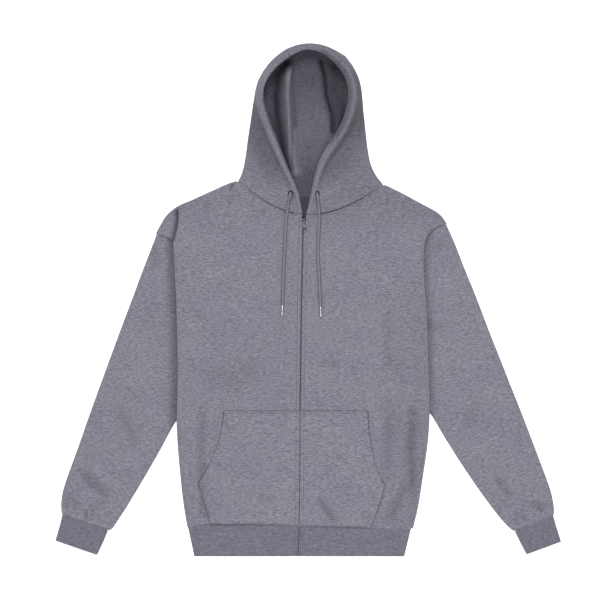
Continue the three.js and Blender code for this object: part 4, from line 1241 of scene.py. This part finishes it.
def slit_shadow_lines(side):
    """Lines below the seam of the hood's middle strip, which close the slit that is there and are
    drawn dark as painted shade.
    """
    high, low = (np.array(p) for p in CROWN_SEAMS[side])
    seam = flat_curve(mirrored([*STRIP_SEAMS[side], low, 0.5 * low + 0.5 * high], side), 4)
    return [
        [Vector((x * MM, y * MM, MM)) for x, y in shifted(seam, -SIDES[side] * away)]
        for away in (-1.2, 0.5, 2.2)
    ]


def seam_pieces(trees):
    """Tinted lines in the seams between the pieces: dark ones as painted shade in the grooves, slits
    and folds, pale ones at the hem and under the pockets as painted light.
    """
    seams, hidden, ribbed, rolls, slit_shadows = [], [], [], [], []
    for side in SIDES:
        arm, cuff = (evenly(mirrored(line[side], side), 3) for line in (ARMHOLES, CUFF_SEAMS))
        crown = evenly(mirrored(CROWN_SEAMS[side], side), 2)[:-5]
        strip = flat_curve(mirrored(STRIP_SEAMS[side], side), 4)
        hem = hem_line(side)
        low_edge = [p for p in hem if abs(p[0]) < POCKET_EDGES[side][-1][0] + 2]
        seams.append(in_seam(neck_line(side), trees, 0.35))
        seams.append(in_seam(arm, trees, 0.5))
        seams.append(in_seam(crown, trees, 0.9))
        hidden.append(in_seam(strip, trees, 0.7))
        ribbed.append(in_seam(hem, trees, -0.2))
        ribbed.append(in_seam(cuff[1:-1], trees, 1.1))
        rolls.append(in_seam(low_edge, trees, 1.5, reach=2.4, share=0.55))
        slit_shadows.extend(slit_shadow_lines(side))
    hidden.append(in_seam([(x, BACK_NECK_Y) for x in range(-34, 35, 3)], trees, 0.8))
    fold = in_seam(flat_curve(SHOULDER_FOLD, 2), trees, 0.1)
    pleat = in_seam(flat_curve(NECK_PLEAT, 2), trees, -0.15)
    # Each join's line is tinted by its share: shoulder fold, pleat, seams and hood slits darker as
    # painted shade, the hem's paler as painted light
    for (name, share), rows in zip(JOIN_SHARES.items(), ([fold, pleat], seams, hidden, ribbed)):
        finish = marl_material(f"marl_{name}", tinted(FLEECE, share))
        line_piece(name, unbroken(rows), 0.75, finish)
    # The hood's slits are closed by lines tinted very dark, painted shade
    deep = marl_material("marl_hood_slit_shadows", tinted(FLEECE, SLIT_SHADE_SHARE))
    line_piece("hood_slit_shadows", slit_shadows, 0.95, deep)
    # The roll under each pocket's lower edge is tinted paler than the fleece, painted light
    rolled = marl_material("marl_pocket_rolls", tinted(FLEECE, ROLL_SHARE))
    line_piece("pocket_rolls", rolls, 1.5, rolled)


def pocket_edge_shadows(trees):
    """Painted shadow lines along the pockets' edges: along the top, at the hand openings and where
    they are sewn.
    """
    edges = {
        side: [turned_edge(line, SIDES[side], trees) for line in pocket_lines(side)]
        for side in SIDES
    }
    for k, (name, (share, radius)) in enumerate(POCKET_EDGE_SHADOWS.items()):
        finish = marl_material(f"marl_{name}", tinted(FLEECE, share))
        line_piece(name, [edges[side][k] for side in SIDES], radius, finish)


def soft_edges(trees, finish):
    """The cloth of the body where it turns under at the sides and over the shoulders."""
    lines = []
    for side in SIDES:
        sign = SIDES[side]
        for edge, inset, drop in ((BODY_SIDES[side], 1.3, 0.0), (SHOULDERS[side], 0.6, 1.0)):
            line = []
            for x, y in flat_curve(mirrored(edge, side), 5):
                spot = height_at(trees, x - sign * (inset + 2.5), y - 3.5 * drop)[0]
                if spot is not None:
                    level = max(spot.z - 2.0 * MM, 1.9 * MM)
                    line.append(Vector(((x - sign * inset) * MM, (y - drop) * MM, level)))
            lines.append(line)
    line_piece("turned_edges", lines, 1.85, finish, sides=4)


def sew(trees):
    """The rows of topstitching, each over a darker line of painted shade where the stitches would
    press a groove into the cloth.
    """
    rows, mouths = [], []
    rows.append(shifted(flat_curve(RIM_LINE, 6), CASING_ROW))
    for side in SIDES:
        sign = SIDES[side]
        rows.append(zip_side_line(sign * ZIP_ROW, ZIP_TOP - 3.5, ZIP_END, 8))
        rows.append([(x, y - 3.2) for x, y in neck_line(side, 30)][2:-1])
        top, mouth, sewn = pocket_lines(side)
        rows.append([(x, y - EDGE_ROW) for x, y in top])
        for away in MOUTH_ROWS:
            mouths.append(shifted(mouth, sign * away))
        rows.append(shifted(sewn, sign * 3))
        arm = evenly(mirrored(ARMHOLES[side], side), 4)
        rows.append([(x, y + 3.4) for x, y in arm])
    # The darker lines under the stitch rows are painted shade for the grooves that the stitches press
    pressed = marl_material("stitch_groove_shadows", tinted(FLEECE, STITCH_SHADE_SHARE))
    lines = [laid(evenly(row, 3), trees, -0.25) for row in rows]
    line_piece("stitch_shadow_lines", unbroken(lines), 0.5, pressed, sides=1)
    places = [place for row in [*rows, *mouths] for place in stitch_places(row, trees)]
    mesh = repeated("topstitching", pill(2.7, 0.62, 0.5), places)
    piece("topstitching", mesh, thread_material("sewing_thread", THREAD))


# Zip
def bevelled_copy(source, name, offset, finish, body=BODY):
    """A CAD node's form with its sharp edges rounded."""
    form = merged_node(source)
    sharp = math.radians(35)
    edges = [e for e in form.edges if len(e.link_faces) == 2 and e.calc_face_angle(0) > sharp]
    bmesh.ops.bevel(
        form, geom=edges, offset=offset * MM, segments=2, profile=0.5, affect="EDGES",
        material=-1, clamp_overlap=True,
    )
    bmesh.ops.recalc_face_normals(form, faces=form.faces)
    mesh = mesh_of(form, name)
    mesh.shade_smooth()
    mesh.set_sharp_from_angle(angle=math.radians(38))
    item = piece(name, mesh, finish, body)
    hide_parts(source)
    return item


def build_zip():
    """The facings beside the zip, its tapes and coil, the slider, the pull and the eyelets."""
    tape = thread_material("woven_tape", TAPE, twist=1200)
    nylon = coil_material("coil_nylon", COIL)
    nose = (SLIDER_SPAN[1] - 4) * MM
    # The slider, pull and eyelets: the high pale share paints glints, and past the nose the slider is
    # darkened, painted shade
    plated = metal_material("aged_nickel", AGED_NICKEL, 0.42, 0.05, 3.4, nose=nose)
    band = rib_material("rib_zip_ends", RIB)
    for name, top, end, level, away, radius, finish in (
        ("zip_facings", 160, -209, 4.15, 1.68, 1.2, fleece),
        ("pocket_facings", -209, HEM_Y - 1, 6.6, 2.12, 1.8, fleece),
        ("band_facings", HEM_Y - 1, ZIP_END, 4.6, 1.85, 1.25, band),
    ):
        heights = [*np.arange(top, end, -8), end]
        edges = [
            [Vector(((zip_x(y) + sign * away) * MM, y * MM, level * MM)) for y in heights]
            for sign in SIDES.values()
        ]
        line_piece(name, edges, radius, finish)
    for side in SIDES:
        bevelled_copy(f"zip_{side}", f"zip_tape_{side}", 0.2, tape)
    heights = np.arange(ZIP_TOP - 0.5, ZIP_END, -8)
    core = [Vector((zip_x(y) * MM, y * MM, COIL_LEVEL * MM)) for y in [*heights, ZIP_END]]
    hem = [Vector((zip_x(y) * MM, y * MM, 4.3 * MM)) for y in (HEM_Y - 2, HEM_Y - 20, ZIP_END)]
    line_piece("coil_core", [core], 0.95, nylon)
    line_piece("zip_end", [hem], 0.7, nylon)
    places = []
    for k, y in enumerate(np.arange(ZIP_TOP - 1, ZIP_END + 1, -COIL_PITCH / 2)):
        if SLIDER_SPAN[0] < y < SLIDER_SPAN[1]:
            continue
        turn = 1 if k % 2 else -1
        place = Vector(((zip_x(y) + 0.5 * turn) * MM, y * MM, (COIL_LEVEL + 0.6) * MM))
        places.append(standing(place, Vector((1, 0.12 * turn, 0)), Vector((0, 0, 1))))
    teeth = repeated("coil_teeth", pill(1.5, 0.8, 0.7), places)
    piece("coil_teeth", teeth, nylon)
    bevelled_copy("zip_slider", "slider_body", 0.25, plated)
    bevelled_copy("zip_pull", "pull_tab", 0.2, plated, body=PULL)
    for side in SIDES:
        mesh = finer(f"eyelet_ring_{side}", merged_node(f"eyelet_{side}"), 2, crease=0)
        ring = piece(f"eyelet_ring_{side}", mesh, plated)
        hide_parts(f"eyelet_{side}")


trees = cloth_trees(list(cloth.values()))
seam_pieces(trees)
pocket_edge_shadows(trees)
soft_edges(trees, fleece)
sew(trees)
build_zip()


# Light and ground
def area_light(name, place, aim, size, power):
    data = bpy.data.lights.new(name, "AREA")
    data.shape = "SQUARE"
    data.size = size
    data.energy = power
    lamp = bpy.data.objects.new(name, data)
    lamp.location = place
    lamp.rotation_euler = (Vector(aim) - Vector(place)).to_track_quat("-Z", "Y").to_euler()
    bpy.context.scene.collection.objects.link(lamp)


def add_studio():
    """A plain pale floor, a soft sky and two lamps, the main one beyond the hood."""
    form = bmesh.new()
    bmesh.ops.create_grid(form, x_segments=2, y_segments=2, size=9.0)
    bmesh.ops.translate(form, vec=(0, 0, -0.3 * MM), verts=form.verts)
    mesh = mesh_of(form, "studio_floor")
    mesh.materials.append(floor_material())
    ground = bpy.data.objects.new("studio_floor", mesh)
    bpy.context.scene.collection.objects.link(ground)
    world = bpy.data.worlds.new("studio")
    bpy.context.scene.world = world
    world.use_nodes = True
    world.node_tree.nodes["Background"].inputs["Color"].default_value = (0.95, 0.96, 1.0, 1)
    world.node_tree.nodes["Background"].inputs["Strength"].default_value = 0.36
    area_light("key", (-0.2, 2.4, 4.0), (0, -0.05, 0), 2.0, 185)
    area_light("fill", (0.1, -0.75, 1.8), (0.05, -0.6, 0), 1.2, 21)
    bpy.context.scene.view_settings.view_transform = "Standard"


add_studio()
